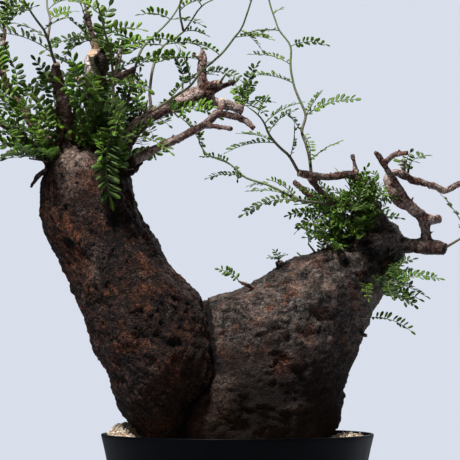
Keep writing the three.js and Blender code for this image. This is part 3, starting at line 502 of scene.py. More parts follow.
def plates(points, size, seed):
    """For each point, how far it lies inside its own cell of a broken surface, from 0 at a crack, and a
    number from 0 to 1 that is the cell's own."""
    scaled = points / np.asarray(size, float) + 51.7
    cell = np.floor(scaled).astype(np.int64)
    nearest, second = np.full((2, len(points)), 9.0)
    own = np.zeros(len(points))
    for step in np.ndindex(3, 3, 3):
        neighbour = cell + np.array(step) - 1
        seat = np.stack([lattice(neighbour, seed + k) for k in range(3)], axis=1)
        away = np.linalg.norm(neighbour + seat - scaled, axis=1)
        closer = away < nearest
        second = np.where(closer, nearest, np.minimum(second, away))
        own = np.where(closer, lattice(neighbour, seed + 3), own)
        nearest = np.where(closer, away, nearest)
    return second - nearest, own


def out_of(points, x, z, wide, high):
    """How far out of an ellipse each point lies, seen from the front: 1 is on its edge."""
    return np.hypot((points[:, 0] - x) / wide, (points[:, 2] - z) / high)


# Curves and meshes

def smooth_line(points, shares):
    """Points at those shares from 0 to 1 of a centripetal curve through the given points."""
    points = np.asarray(points, float)
    last = len(points) - 1
    padded = np.vstack([2 * points[0] - points[1], points, 2 * points[-1] - points[-2]])
    place = np.clip(np.asarray(shares, float), 0, 1) * last
    first = np.minimum(place.astype(int), last - 1)
    weight = (place - first)[:, None]
    a, b, c, d = (padded[first + k] for k in range(4))
    gaps = [np.sum((q - p) ** 2, axis=1, keepdims=True) ** 0.25 for p, q in ((a, b), (b, c), (c, d))]
    mid = np.where(gaps[1] < 1e-4, 1, gaps[1])
    near, far = (np.where(gap < 1e-4, mid, gap) for gap in gaps[::2])
    start = ((b - a) / near - (c - a) / (near + mid) + (c - b) / mid) * mid
    end = ((c - b) / mid - (d - b) / (mid + far) + (d - c) / far) * mid
    cubic = 2 * b - 2 * c + start + end
    square = -3 * b + 3 * c - 2 * start - end
    return b + start * weight + square * weight**2 + cubic * weight**3


def spread(depth, line):
    """The points of a line that is given by its x and z, with its depth y at each end."""
    line = np.asarray(line, float)
    return np.column_stack([line[:, 0], np.linspace(*depth, len(line)), line[:, 1]])


def ring(sides):
    """Points around a circle of radius 1."""
    angle = np.linspace(0, TURN, sides, endpoint=False)
    return np.column_stack([np.cos(angle), np.sin(angle)])


def at_height(flat, z):
    return np.column_stack([flat, np.broadcast_to(z, len(flat))])


def closed(rings, first, last):
    """A closed round body through rings of points, with one point in the middle of each end."""
    rings = np.asarray(rings)
    count, sides = rings.shape[:2]
    around = np.arange(sides)
    after = (around + 1) % sides
    start = sides * np.arange(count - 1)[:, None]
    a, b = (start + around).ravel(), (start + after).ravel()
    top, end = (count - 1) * sides, np.full(sides, count * sides)
    triangles = [
        (a, b, b + sides), (a, b + sides, a + sides), (after, around, end),
        (around + top, after + top, end + 1)]
    corners = np.vstack([rings.reshape(-1, 3), [first], [last]])
    return corners, np.vstack([np.column_stack(three) for three in triangles])


def tube(points, radii, sides):
    """A round closed tube along points."""
    points = np.asarray(points, float)
    tangents = unit(np.gradient(points, axis=0))
    across = np.array([1, 0.01, 0.0])
    side = np.empty_like(points)
    for i, tangent in enumerate(tangents):
        side[i] = across = unit(across - tangent * (across @ tangent))
    depth = np.cross(tangents, side)
    cosine, sine = ring(sides).T[..., None]
    circle = cosine * side[:, None] + sine * depth[:, None]
    rings = points[:, None] + circle * np.asarray(radii, float)[:, None, None]
    return closed(rings, points[0], points[-1])


class Heap:
    """Closed bodies gathered into one mesh, with a material number for a body and paint for its points."""

    def __init__(self, *paints):
        self.points, self.triangles, self.materials = [], [], []
        self.paints = {name: [] for name in paints}
        self.count = 0

    def add(self, points, triangles, material=0, **paints):
        self.points.append(points)
        self.triangles.append(triangles + self.count)
        self.materials.append(np.full(len(triangles), material))
        for name, values in self.paints.items():
            values.append(np.broadcast_to(np.asarray(paints.get(name, 0.0), float), len(points)))
        self.count += len(points)

    def build(self, name, materials, rounded=True):
        points, triangles = np.vstack(self.points), np.vstack(self.triangles)
        piece = mesh_object(name, points, triangles, materials, rounded)
        piece.data.polygons.foreach_set("material_index", np.concatenate(self.materials).astype(np.int32))
        paint(piece, **{name: np.concatenate(values) for name, values in self.paints.items()})
        return piece


def add_object(name, data):
    made = bpy.data.objects.new(name, data)
    bpy.context.scene.collection.objects.link(made)
    return made


def mesh_object(name, points, faces, materials, rounded=True):
    mesh = bpy.data.meshes.new(name)
    mesh.from_pydata((np.asarray(points) * MM).tolist(), [], np.asarray(faces).tolist())
    mesh.update()
    for material in materials:
        mesh.materials.append(material)
    mesh.polygons.foreach_set("use_smooth", np.full(len(mesh.polygons), rounded))
    return add_object(name, mesh)


def paint(piece, **layers):
    """Gives each point its numbers, which the materials read by name."""
    for name, values in layers.items():
        layer = piece.data.attributes.new(name, "FLOAT", "POINT")
        layer.data.foreach_set("value", np.asarray(values, np.float32))


def corners_of(piece):
    """A mesh's points, in millimetres, and its normals."""
    flat = np.empty(len(piece.data.vertices) * 3, np.float32)
    piece.data.vertices.foreach_get("co", flat)
    normals = np.empty_like(flat)
    piece.data.vertex_normals.foreach_get("vector", normals)
    return flat.reshape(-1, 3) / MM, normals.reshape(-1, 3).astype(float)


def raise_corners(piece, points, normals, height):
    moved = (points + normals * height[:, None]) * MM
    piece.data.vertices.foreach_set("co", moved.astype(np.float32).ravel())
    piece.data.update()


def modified(piece, kind, **settings):
    """The piece with a modifier of that kind made part of its mesh."""
    modifier = piece.modifiers.new(kind, kind)
    for name, value in settings.items():
        setattr(modifier, name, value)
    whole = bpy.data.meshes.new_from_object(piece.evaluated_get(bpy.context.evaluated_depsgraph_get()))
    piece.modifiers.clear()
    old, piece.data = piece.data, whole
    bpy.data.meshes.remove(old)
    whole.name = piece.name
    return piece


def fused(piece, voxel):
    """The piece as one skin of even faces round all of its bodies."""
    return modified(piece, "REMESH", mode="VOXEL", voxel_size=voxel * MM, use_smooth_shade=True)


# Materials

class Nodes:
    """The shader nodes of one tree. The first method adds a node and returns its outputs; each of the
    others adds one or a few and returns the output of the last."""

    def __init__(self, tree):
        self.tree = tree

    def node(self, kind, inputs=None, **settings):
        made = self.tree.nodes.new("ShaderNode" + kind)
        for name, value in settings.items():
            setattr(made, name, value)
        for socket, value in (inputs or {}).items():
            if isinstance(value, bpy.types.NodeSocket):
                self.tree.links.new(value, made.inputs[socket])
            else:
                made.inputs[socket].default_value = value
        return made.outputs

    def place(self):
        return self.node("TexCoord")["Object"]

    def paint(self, name):
        return self.node("Attribute", attribute_name=name)["Fac"]

    def grain(self, size, detail=3.0, stretch=(1, 1, 1)):
        """Noise around 0.5 with features of that size in millimetres."""
        scale = [s / (size * MM) for s in stretch]
        scaled = self.node("Mapping", {"Vector": self.place(), "Scale": scale})[0]
        noise = {"Vector": scaled, "Scale": 1.0, "Detail": detail, "Roughness": 0.6}
        return self.node("TexNoise", noise)["Fac"]

    def cells(self, size, bend, feature, output):
        """Cells of that size in millimetres, with edges bent by that much."""
        noise = {"Vector": self.place(), "Scale": 0.6 / (size * MM), "Detail": 3.0}
        bent = {0: self.node("TexNoise", noise)["Color"], 1: (bend * MM,) * 3, 2: self.place()}
        moved = self.node("VectorMath", bent, operation="MULTIPLY_ADD")[0]
        inputs = {"Vector": moved, "Scale": 1 / (size * MM)}
        return self.node("TexVoronoi", inputs, feature=feature)[output]

    def math(self, operation, a, b=0.0, clamp=False):
        return self.node("Math", {0: a, 1: b}, operation=operation, use_clamp=clamp)[0]

    def plus(self, a, b, clamp=False):
        return self.math("ADD", a, b, clamp)

    def times(self, a, b):
        return self.math("MULTIPLY", a, b)

    def ranged(self, value, low, high, to_low=0.0, to_high=1.0):
        inputs = {"Value": value, "From Min": low, "From Max": high, "To Min": to_low, "To Max": to_high}
        return self.node("MapRange", inputs, interpolation_type="SMOOTHSTEP")[0]

    def blend(self, share, a, b, how="MIX"):
        a, b = (v if isinstance(v, bpy.types.NodeSocket) else (*v, 1) for v in (a, b))
        return self.node("Mix", {0: share, 6: a, 7: b}, data_type="RGBA", blend_type=how)[2]

    def tones(self, value, low, high, dark, light):
        """A colour that goes from dark to light as the value goes from low to high."""
        return self.blend(self.ranged(value, low, high), dark, light)


class Surface(Nodes):
    """A material with one Principled shader, whose sockets are set by name."""

    def __init__(self, name, **values):
        self.material = bpy.data.materials.new(name)
        self.material.use_nodes = True
        super().__init__(self.material.node_tree)
        self.sockets = self.tree.nodes["Principled BSDF"].inputs
        for socket, value in values.items():
            self.sockets[socket.replace("_", " ")].default_value = value

    def give(self, socket, value):
        self.tree.links.new(value, self.sockets[socket])

    def bump(self, height, distance, strength=1.0):
        inputs = {"Height": height, "Distance": distance * MM, "Strength": strength}
        self.give("Normal", self.node("Bump", inputs)[0])


def bark_material():
    """Bark of the caudex: brown, with grey skin, rust where it has flaked, and cracks made dark with
    painted shade; painted shade also darkens its crease, folds and hollows, and partly its foot, which
    also has a moist stain.
    """
    bark = Surface("caudex_bark", Specular_IOR_Level=0.17)
    damp_and_shade, pale = bark.paint("damp_and_shade"), bark.paint("pale")
    bark.give("Roughness", bark.ranged(damp_and_shade, 0.0, 1.0, 0.6, 0.85))
    coarse, fine, speck = bark.grain(4.2), bark.grain(2.0, 4.0), bark.grain(1.0)
    patch, broad = bark.grain(15, 5.0), bark.grain(34)
    edge = bark.cells(6.5, 7.0, "DISTANCE_TO_EDGE", "Distance")
    small_edge = bark.cells(2.8, 3.0, "DISTANCE_TO_EDGE", "Distance")
    own = bark.node("SeparateColor", {0: bark.cells(6.5, 7.0, "F1", "Color")})[0]
    # painted shade: the cells' edges are cracks, made dark as if shade lay in them
    line = bark.times(bark.ranged(edge, 0.0, 0.13, 1.0, 0.0), bark.ranged(patch, 0.4, 0.6, 0.1, 0.8))
    small_line = bark.times(bark.ranged(small_edge, 0.0, 0.2, 0.8, 0.0), bark.ranged(coarse, 0.4, 0.6))
    crack = bark.math("MAXIMUM", line, small_line)
    mixed = bark.ranged(bark.plus(fine, bark.plus(speck, coarse)), 1.25, 1.85)
    mixed = bark.times(mixed, bark.ranged(broad, 0.35, 0.65, 0.65, 1.3))
    mixed = bark.times(mixed, bark.ranged(own, 0.0, 1.0, 0.6, 1.45))
    brown = bark.blend(mixed, (0.012, 0.005, 0.0035), (0.18, 0.07, 0.042))
    grey = bark.blend(mixed, (0.02, 0.016, 0.014), (0.33, 0.284, 0.254))
    orange = bark.blend(mixed, (0.06, 0.014, 0.006), (0.5, 0.165, 0.07))
    white = bark.tones(coarse, 0.35, 0.6, (0.4, 0.24, 0.17), (0.7, 0.53, 0.45))
    skin = bark.plus(bark.paint("grey"), bark.ranged(patch, 0.35, 0.65, -0.25, 0.25), clamp=True)
    rust = bark.times(bark.paint("rust"), bark.ranged(fine, 0.3, 0.62, 0.45, 1.0))
    crack = bark.times(crack, bark.ranged(pale, 0.0, 1.0, 0.75, 0.3))
    # darker at the foot and on the left limb's side away from the key light: painted shade, partly a moist
    # stain
    base = bark.blend(damp_and_shade, bark.blend(skin, brown, grey), (0.012, 0.007, 0.0055))
    base = bark.blend(rust, base, orange)
    base = bark.blend(bark.times(pale, bark.ranged(fine, 0.35, 0.6, 0.45, 1.0)), base, white)
    # deep and the cracks darken the bark with painted shade
    base = bark.blend(bark.plus(bark.paint("deep"), crack, clamp=True), base, (0.008, 0.005, 0.004))
    bark.give("Base Color", base)
    height = bark.plus(bark.times(coarse, 1.6), bark.plus(fine, speck))
    bark.bump(bark.math("SUBTRACT", height, bark.times(crack, 0.5)), 3.4)
    return bark.material


def branch_material():
    """Bark of the branches, from red-brown to bleached, with pale wood at the cuts."""
    wood = Surface("branch_bark", Roughness=0.72, Specular_IOR_Level=0.35)
    fine, patch, pale = wood.grain(1.6, 4.0), wood.grain(9, 4.0), wood.paint("pale")
    brown = wood.tones(fine, 0.35, 0.68, (0.035, 0.011, 0.009), (0.2, 0.088, 0.062))
    bleached = wood.tones(fine, 0.35, 0.62, (0.16, 0.1, 0.075), (0.56, 0.45, 0.4))
    white = wood.tones(fine, 0.35, 0.62, (0.5, 0.36, 0.31), (0.86, 0.74, 0.69))
    bare = wood.tones(fine, 0.35, 0.65, (0.4, 0.26, 0.16), (0.66, 0.48, 0.34))
    share = wood.plus(pale, wood.ranged(patch, 0.38, 0.62, -0.4, 0.4), clamp=True)
    base = wood.blend(wood.ranged(pale, 0.85, 1.0), wood.blend(share, brown, bleached), white)
    # deep: painted shade in cracks and on right_low, with dark rot at rotted ends
    base = wood.blend(wood.paint("deep"), base, (0.02, 0.012, 0.01))
    wood.give("Base Color", wood.blend(wood.paint("cut"), base, bare))
    wood.bump(wood.plus(fine, wood.times(wood.grain(3.5, 2.0), 1.5)), 1.1)
    return wood.material


def leaf_material():
    """A leaflet: satin green by its own tone, with a pale midrib and fine side veins."""
    leaf = Surface("leaf", Roughness=0.45, Specular_IOR_Level=0.35, Subsurface_Weight=0.25,
                   Subsurface_Radius=(0.4, 1.0, 0.15), Subsurface_Scale=0.8 * MM)
    green = leaf.tones(leaf.paint("tone"), 0.0, 1.0, (0.013, 0.033, 0.002), (0.115, 0.235, 0.012))
    green = leaf.blend(leaf.paint("young"), green, (0.24, 0.33, 0.03))
    green = leaf.blend(1.0, green, leaf.ranged(leaf.grain(2.5), 0.3, 0.7, 0.75, 1.15), "MULTIPLY")
    rib = leaf.ranged(leaf.paint("across"), 0.0, 0.14, 0.55, 0.0)
    vein = leaf.math("SINE", leaf.times(leaf.paint("vein"), TURN))
    lines = leaf.math("MAXIMUM", rib, leaf.ranged(vein, 0.75, 1.0, 0.0, 0.25))
    leaf.give("Base Color", leaf.blend(lines, green, (0.15, 0.23, 0.04)))
    leaf.bump(vein, 0.05, 0.5)
    return leaf.material


def stem_material():
    """A young stem, green at its tip and brown where it has turned to wood."""
    stem = Surface("green_stem", Roughness=0.55)
    fine = stem.grain(1.5)
    brown = stem.tones(fine, 0.3, 0.7, (0.05, 0.028, 0.018), (0.16, 0.1, 0.07))
    green = stem.tones(fine, 0.3, 0.7, (0.06, 0.11, 0.02), (0.14, 0.22, 0.05))
    stem.give("Base Color", stem.blend(stem.paint("young"), brown, green))
    stem.bump(fine, 0.15)
    return stem.material


def pot_material():
    """Moulded plastic, nearly black with a touch of blue, faintly scuffed."""
    pot = Surface("pot_plastic", IOR=1.13)
    patch = pot.grain(22, 5.0, (1, 1, 0.35))
    pot.give("Base Color", pot.tones(patch, 0.35, 0.7, (0.001, 0.0011, 0.0019), (0.002, 0.0023, 0.0037)))
    pot.give("Roughness", pot.ranged(patch, 0.3, 0.7, 0.32, 0.46))
    pot.bump(pot.grain(0.6, 2.0), 0.04, 0.4)
    return pot.material


def grit_material():
    """Grains of pumice and baked clay, each of its own tone."""
    grit = Surface("grit", Roughness=0.9, Specular_IOR_Level=0.25)
    tone, fine = grit.paint("tone"), grit.grain(0.5)
    colours = grit.node("ValToRGB", {"Fac": tone})[0]
    stops = colours.node.color_ramp.elements
    while len(stops) < len(GRIT_TONES):
        stops.new(0.5)
    for stop, (position, colour) in zip(stops, GRIT_TONES):
        stop.position, stop.color = position, (*colour, 1)
    dust = grit.ranged(fine, 0.3, 0.7, 0.0, 0.35)
    grit.give("Base Color", grit.blend(dust, colours, (0.22, 0.15, 0.09)))
    grit.bump(fine, 0.15)
    return grit.material


# The caudex

def bark_relief(p):
    swell = np.sin(p[:, 0] / 13 + 1.7 * np.sin(p[:, 2] / 23)) * np.sin(p[:, 2] / 11 + p[:, 1] / 17)
    knob = np.sin(p[:, 0] / 4.3 + p[:, 2] / 9) * np.sin(p[:, 2] / 5.1 - p[:, 1] / 7)
    return 1.6 * swell + 1.1 * knob * np.sin(p[:, 1] / 4.7 + p[:, 0] / 11)


def limb_body(slices):
    """A limb of the caudex as a closed body through its level slices."""
    slices = np.array(slices, float)
    shares = np.linspace(0, 1, LIMB["rings"] + 1)
    flat = ((0, 0), (0, 1))
    middles = smooth_line(slices[:, :3], shares)
    radii = smooth_line(np.pad(slices[:, 3:], flat), shares)
    out = (np.pad(ring(LIMB["sides"]), flat) * radii[:, None]).reshape(-1, 3)
    centre = np.repeat(middles, LIMB["sides"], axis=0)
    length = np.linalg.norm(out, axis=1)
    raised = length + bark_relief(centre + out)
    rings = centre + out * (raised / length)[:, None]
    return closed(rings.reshape(-1, LIMB["sides"], 3), middles[0], middles[-1])


def reach_in(slices, points):
    """How far out each point lies in a limb's level slice: 1 is on its surface."""
    slices = np.array(slices, float)
    x, y, a, b = (np.interp(points[:, 2], slices[:, 2], slices[:, k]) for k in (0, 1, 3, 4))
    return np.hypot((points[:, 0] - x) / a, (points[:, 1] - y) / b)


def reach_in_limbs(points):
    return np.minimum(reach_in(LEFT_LIMB, points), reach_in(RIGHT_LIMB, points))


def marks_at(points, normals):
    """The depth, rust, paleness and darkness that the marks give each point of the front."""
    total = np.zeros((len(points), 4))
    ragged = points + 2.2 * shifts(cloud, points, 7, 61)
    front = smooth(-0.2, 0.3, -normals[:, 1])
    for *patch, depth, rust, pale, dark in MARKS:
        inside = smooth(1.25, 0.2, out_of(ragged, *patch)) * front
        total += inside[:, None] * np.array([depth, rust, pale, dark])
    return total.T


def caudex_skin(material):
    """The limbs as one skin, with a collar round the foot of each branch that starts in them."""
    heap = Heap()
    for slices in (LEFT_LIMB, RIGHT_LIMB, WEB):
        heap.add(*limb_body(slices))
    for depth, line in BRANCHES.values():
        points, radii = woody_line(depth, line)
        if reach_in_limbs(points[:1]) > 1:
            continue
        along = np.concatenate([[0], np.cumsum(np.linalg.norm(np.diff(points, axis=0), axis=1))])
        end = WOOD["collar"] + 2 * radii[0]
        flared = radii * (1.5 - 0.5 * smooth(0, end, along))
        kept = along < end
        heap.add(*tube(points[kept], flared[kept], WOOD["sides"]))
    return fused(heap.build("caudex", [material]), LIMB["voxel"])


def make_caudex(material):
    caudex = caudex_skin(material)
    points, normals = corners_of(caudex)
    tall = points[:, 2]
    level = {name: smooth(*ends, tall) for name, ends in LEVELS.items()}
    depth, rust, pale, dark = marks_at(points, normals)

    # which limb each point is on: on the front by the drawn crease, elsewhere by the nearer limb
    gap = reach_in(LEFT_LIMB, points) - reach_in(RIGHT_LIMB, points)
    border = np.array(CREASE)[::-1]
    wobble = 1.2 * cloud(points, 9, 64) + 0.6 * cloud(points, 4, 65)
    aside = points[:, 0] + wobble - np.interp(tall, border[:, 1], border[:, 0])
    front = smooth(8, -8, points[:, 1]) * level["front"]
    is_left = front * smooth(2, -2, aside) + (1 - front) * smooth(0.06, -0.06, gap)
    is_right = 1 - is_left
    crease = front * smooth(3.4, 0.3, np.abs(aside)) * level["crease"]
    crease += (1 - front) * smooth(0.08, 0.0, np.abs(gap)) * level["back_crease"]
    crease *= level["crease_top"]
    folds = smooth(0.1, 1.0, np.cos(TURN * aside / FOLDS["pitch"])) * front * level["folds"]
    folds *= smooth(*FOLDS["outer"], aside) * smooth(*FOLDS["inner"], aside) * level["folds_top"]

    # the left limb leans, so its plates are stretched along it
    lean = points.copy()
    lean[:, 0] += is_left * BARK["lean"] * (tall - BARK["lean_from"])
    warp = 3.5 * shifts(clouds, points, 13, 1)
    inside, own = plates(lean + warp, BARK["plate"], 20)
    small_inside, small_own = plates(lean + 0.5 * warp, BARK["chip"], 40)
    crack = 1 - smooth(0, BARK["crack"], inside)
    small_crack = 1 - smooth(0, BARK["small_crack"], small_inside)
    ridges = 1 - np.abs(cloud(lean + 1.6 * warp, BARK["ridge"], 7))
    fine_ridges = 1 - np.abs(cloud(lean + warp, BARK["fine_ridge"], 8))
    lumps = 1.15 * clouds(points, BARK["lump"], 90, 2) + 0.8 * clouds(lean, 9, 95, 2)
    flakes = (own - 0.5) * 1.1 + (small_own - 0.5) * 0.9
    flaky = is_left * 0.5 + 0.5
    relief = (1.15 + 0.85 * is_left) * lumps + flaky * (flakes - 0.6 * crack - 0.3 * small_crack)
    relief += (1 - 0.55 * is_left) * (ridges**2 + 0.6 * fine_ridges**2 - 0.8)
    raise_corners(caudex, points, normals, relief - depth - 1.5 * crease - 0.7 * folds)

    # painted shade: darker in the cracks, the crease between the limbs, the grooves of the folds, the
    # marks' holes and, on the right limb, the troughs between its ridges
    shade = flaky * (0.55 * crack + 0.3 * small_crack) + 0.85 * crease + 0.45 * folds + dark
    shade += 0.2 * smooth(0.5, 0.1, ridges) * is_right
    patches = clouds(points, 16, 130, 3)
    # grey skin; on the right limb it grows with height, which is partly painted light, lighter at the top
    # and darker towards the foot
    grey = is_right * (0.25 + 0.6 * level["grey"]) + is_left * (1.1 * patches - 0.35)
    # rust, which on the left limb is heavier on the side facing the key light: that share is painted
    # highlight
    lit = 0.6 + 0.5 * smooth(0.3, -0.6, normals[:, 0])
    rust_and_highlight = smooth(-0.05, 0.35, clouds(points, 13, 150, 3)) * lit * is_left
    rust_and_highlight += smooth(0.25, 0.5, clouds(points, 8, 170, 3)) * 0.85 * is_right
    # darker towards the foot, partly a moist stain and partly painted shade; on the left limb also darker
    # on the side turned away from the key light, which is painted shade
    damp_and_shade = smooth(*DAMP_AND_SHADE, tall + 14 * patches) * (0.96 - 0.74 * is_left)
    damp_and_shade = np.clip(damp_and_shade + 0.35 * is_left * smooth(0.2, 0.9, normals[:, 0]), 0, 0.9)
    rust = np.clip(rust_and_highlight * level["rust"] * (1 - damp_and_shade) + rust, 0, 0.9)
    pale = pale + 0.42 * smooth(0.6, 0.95, ridges) * is_right * level["grey"]
    shade, grey, pale = np.clip([shade, grey, pale], 0, 1)
    # deep carries the painted shade
    paint(caudex, deep=shade, grey=grey, damp_and_shade=damp_and_shade, rust=rust, pale=pale)
    return caudex


# Branches

def woody_line(depth, line):
    """A branch's points, close together, with the radius at each and slow swellings."""
    knots, radii = spread(depth, line), [radius for _, _, radius in line]
    length = np.sum(np.linalg.norm(np.diff(knots, axis=0), axis=1))
    shares = np.linspace(0, 1, max(4, int(length / WOOD["step"])))
    points = smooth_line(knots, shares)
    radii = np.interp(shares * (len(line) - 1), np.arange(len(line)), radii)
    return points, radii * (1 + 0.14 * cloud(points, 9, 5) + 0.08 * cloud(points, 4, 6))


def add_spurs(heap, random, points, radii):
    """Small spurs and bud scars that stand out from a branch."""
    for i in range(SPURS["each"], len(points) - 3, SPURS["each"]):
        at = i - random.integers(0, SPURS["each"])
        axis = unit(points[at + 1] - points[at])
        out = unit(np.cross(axis, random.standard_normal(3)) + 0.5 * axis)
        long = radii[at] + random.uniform(SPURS["least"], SPURS["most"])
        line = points[at] + out * np.linspace(0, long, 4)[:, None]
        heap.add(*tube(line, SPURS["radius"] * np.array([1.7, 1.5, 1.1, 0.8]), SPURS["sides"]))


def make_branches(name, chosen, material):
    heap = Heap()
    random = np.random.default_rng(SPURS["seed"])
    lines = {branch: woody_line(*BRANCHES[branch]) for branch in chosen}
    tree = KDTree(sum(len(points) for points, _ in lines.values()))
    tints = []
    for branch, (points, radii) in lines.items():
        heap.add(*tube(points, radii, WOOD["sides"]))
        add_spurs(heap, random, points, radii)
        for point, tint in zip(points, np.linspace(*PALENESS.get(branch, USUAL_PALENESS), len(points))):
            tree.insert(point, len(tints))
            tints.append(tint)
    tree.balance()
    branches = fused(heap.build(name, [material]), WOOD["voxel"])
    points, normals = corners_of(branches)
    tint = np.array([tints[tree.find(point)[1]] for point in points])
    for *patch, value in WOOD_MARKS:
        inside = smooth(1.2, 0.7, out_of(points, *patch) + 0.2 * cloud(points, 4, 66))
        tint += inside * (normals[:, 1] < 0.3) * (value - tint)
    cut, decay = np.zeros((2, len(points)))
    for branch, (line, radii) in lines.items():
        away = points - line[-1]
        far, radius = np.linalg.norm(away, axis=1), radii[-1]
        if branch in ROTTED:
            decay = np.maximum(decay, smooth(WOOD["rot"], 1, far))
        elif radius >= WOOD["least_cut"]:
            axis = unit(line[-1] - line[-2])
            along = away @ axis
            off = np.linalg.norm(away - along[:, None] * axis, axis=1)
            cut = np.maximum(cut, (along > -0.75) * (off < radius * 1.05) * (far < 2 * radius))
    inside, own = plates(points + 1.5 * shifts(cloud, points, 6, 31), WOOD["plate"], 70)
    crack = 1 - smooth(0, WOOD["crack"], inside)
    relief = 0.5 * clouds(points, 5, 75, 3) + 0.4 * (own - 0.5) - 0.35 * crack
    raise_corners(branches, points, normals, relief * (1 - cut))
    # deep: painted shade in the bark's cracks, the dark of branches whose paleness is below 0 (painted
    # shade on right_low), and dark rot at the rotted ends
    deep = np.clip(0.6 * crack + 0.85 * decay - tint * (1 - decay), 0, 0.95) * (1 - cut)
    paint(branches, cut=cut, pale=np.clip(tint, 0, 1), deep=deep)
    return branches


# Foliage

def leaflet_pattern():
    """The corners of a leaflet as its length, width and thickness shares, and its triangles."""
    rows = len(LEAFLET_ROWS)
    corners = [(0, 0, 0)]
    corners += [(along, side * wide, 1 - abs(side)) for along, wide in LEAFLET_ROWS for side in (-1, 0, 1)]
    corners += [(along, 0, -1) for along, _ in LEAFLET_ROWS]
    corners += [(1, 0, 0)]
    left, above, right = (range(1 + j, 1 + 3 * rows, 3) for j in range(3))
    below, tip = range(1 + 3 * rows, 1 + 4 * rows), 1 + 4 * rows
    triangles = []
    for face, middle in ((1, above), (-1, below)):
        for one, two in ((left, middle), (middle, right)):
            strip = [(0, two[0], one[0]), (tip, one[-1], two[-1])]
            for a, b, c, d in zip(one, two, two[1:], one[1:]):
                strip += [(a, b, c), (a, c, d)]
            triangles += [three[::face] for three in strip]
    return np.array(corners, float), np.array(triangles)


PATTERN, PATTERN_TRIANGLES = leaflet_pattern()


class Foliage:
    """Leaves and the twigs that carry them, gathered for one piece."""

    def __init__(self, seed):
        self.heap = Heap("tone", "young", "across", "vein")
        self.leaflets = []
        self.random = np.random.default_rng(seed)

    def twig(self, points, radii, young):
        sides = TWIG["sides"]
        ages = np.append(np.repeat(young, sides), [young[0], young[-1]])
        self.heap.add(*tube(points, radii, sides), STEM, young=ages)

    def leaf(self, at, reach, face, age, tone, scale, crowd=1, slim=1):
        """A pinnate leaf from its root to its tip: an arched, bowed stalk with pairs of leaflets, set
        closer for a smaller crowd and narrower for a smaller slim."""
        rnd = self.random
        length = np.linalg.norm(reach)
        forward = unit(reach)
        sideways = unit(np.cross(face, forward))
        up = np.cross(forward, sideways)
        bow = LEAF["bow"] * (1 if sideways[2] >= 0 else -1) * length
        big = length / LEAF["arch"]

        def stalk(share):
            bend = LEAF["arch"] * (share - 0.5)
            x = length / 2 + big * math.sin(bend)
            z = big * math.cos(bend) - big * math.cos(LEAF["arch"] / 2)
            return at + forward * x + sideways * (4 * bow * share * (1 - share)) + up * z

        def ways(share):
            ahead = unit(stalk(min(share + 0.02, 1.02)) - stalk(share - 0.02))
            beside = unit(np.cross(up, ahead))
            return ahead, beside, np.cross(ahead, beside)

        line = [stalk(share) for share in np.linspace(0, 1, 8)]
        self.heap.add(*tube(line, np.linspace(*LEAF["stalk"], len(line)), 4), STEM, young=0.75)
        petiole = min(LEAF["petiole"], 0.16 * length)
        full = 0.5 + 0.5 * min(length / LEAF["usual"], 1.3)
        size = scale * LEAF["leaflet"] * full * rnd.uniform(0.88, 1.1)
        pairs = max(3, round((length - petiole - 0.5 * size) / (LEAF["pitch"] * crowd * size)))
        tone = np.clip(tone + 0.25 * rnd.standard_normal(), 0, 1)
        raised = LEAF["raised"] + 0.2 * rnd.standard_normal()
        for i in range(pairs):
            share = (petiole + (length - petiole) * (i + 0.15) / (pairs + 0.25)) / length
            ahead, beside, over = ways(share)
            taper = 0.72 + 0.4 * math.sin(math.pi * (0.18 + 0.66 * (i + 0.5) / pairs))
            for hand in (-1, 1):
                if rnd.random() < LEAF["lost"]:
                    continue
                degrees = LEAF["open"] - LEAF["closing"] * i / pairs + 7 * rnd.standard_normal()
                opening = math.radians(degrees)
                out = ahead * math.cos(opening) + beside * hand * math.sin(opening)
                out = unit(out + over * (raised + 0.14 * rnd.standard_normal()))
                root = stalk(share) + ahead * 0.5 * rnd.standard_normal()
                own_size = size * taper * (1 + 0.09 * rnd.standard_normal())
                self.leaflet(root, out, over, own_size, slim, tone, age)
        ahead, beside, over = ways(1.0)
        root, out = stalk(1.0) - ahead * 0.3, unit(ahead + 0.1 * over)
        self.leaflet(root, out, over, size * 0.95, slim, tone, age)

    def leaflet(self, root, out, over, size, slim, tone, age):
        rnd = self.random
        side = unit(np.cross(over, out) + 0.28 * rnd.standard_normal() * over)
        half = size * slim * LEAF["broad"] * (1 + 0.1 * rnd.standard_normal())
        own_tone = np.clip(tone + 0.12 * rnd.standard_normal(), 0, 1)
        curl, fold = 0.10 + 0.07 * rnd.standard_normal(), 0.16 + 0.08 * rnd.standard_normal()
        normal = np.cross(out, side)
        self.leaflets.append([*root, *out, *side, *normal, size, half, curl, fold, own_tone, age])

    def build(self, name, materials):
        rows = np.array(self.leaflets)
        root, out, side, normal = (rows[:, None, k:k + 3] for k in (0, 3, 6, 9))
        size, half, curl, fold, tone, age = (rows[:, 12 + k, None] for k in range(6))
        along, across, thick = PATTERN.T
        off = np.abs(across)
        lift = thick * LEAF["thick"] + fold * off * half - curl * size * (along - 0.3) ** 2
        points = root + out * (along * size)[..., None] + side * (across * half)[..., None]
        points = points + normal * lift[..., None]
        shape = (len(rows), len(PATTERN))
        triangles = PATTERN_TRIANGLES + len(PATTERN) * np.arange(len(rows))[:, None, None]
        paints = {"tone": tone, "young": age, "across": off, "vein": along * 6 + off * 1.6}
        paints = {key: np.broadcast_to(values, shape).ravel() for key, values in paints.items()}
        self.heap.add(points.reshape(-1, 3), triangles.reshape(-1, 3), **paints)
        return self.heap.build(name, materials)


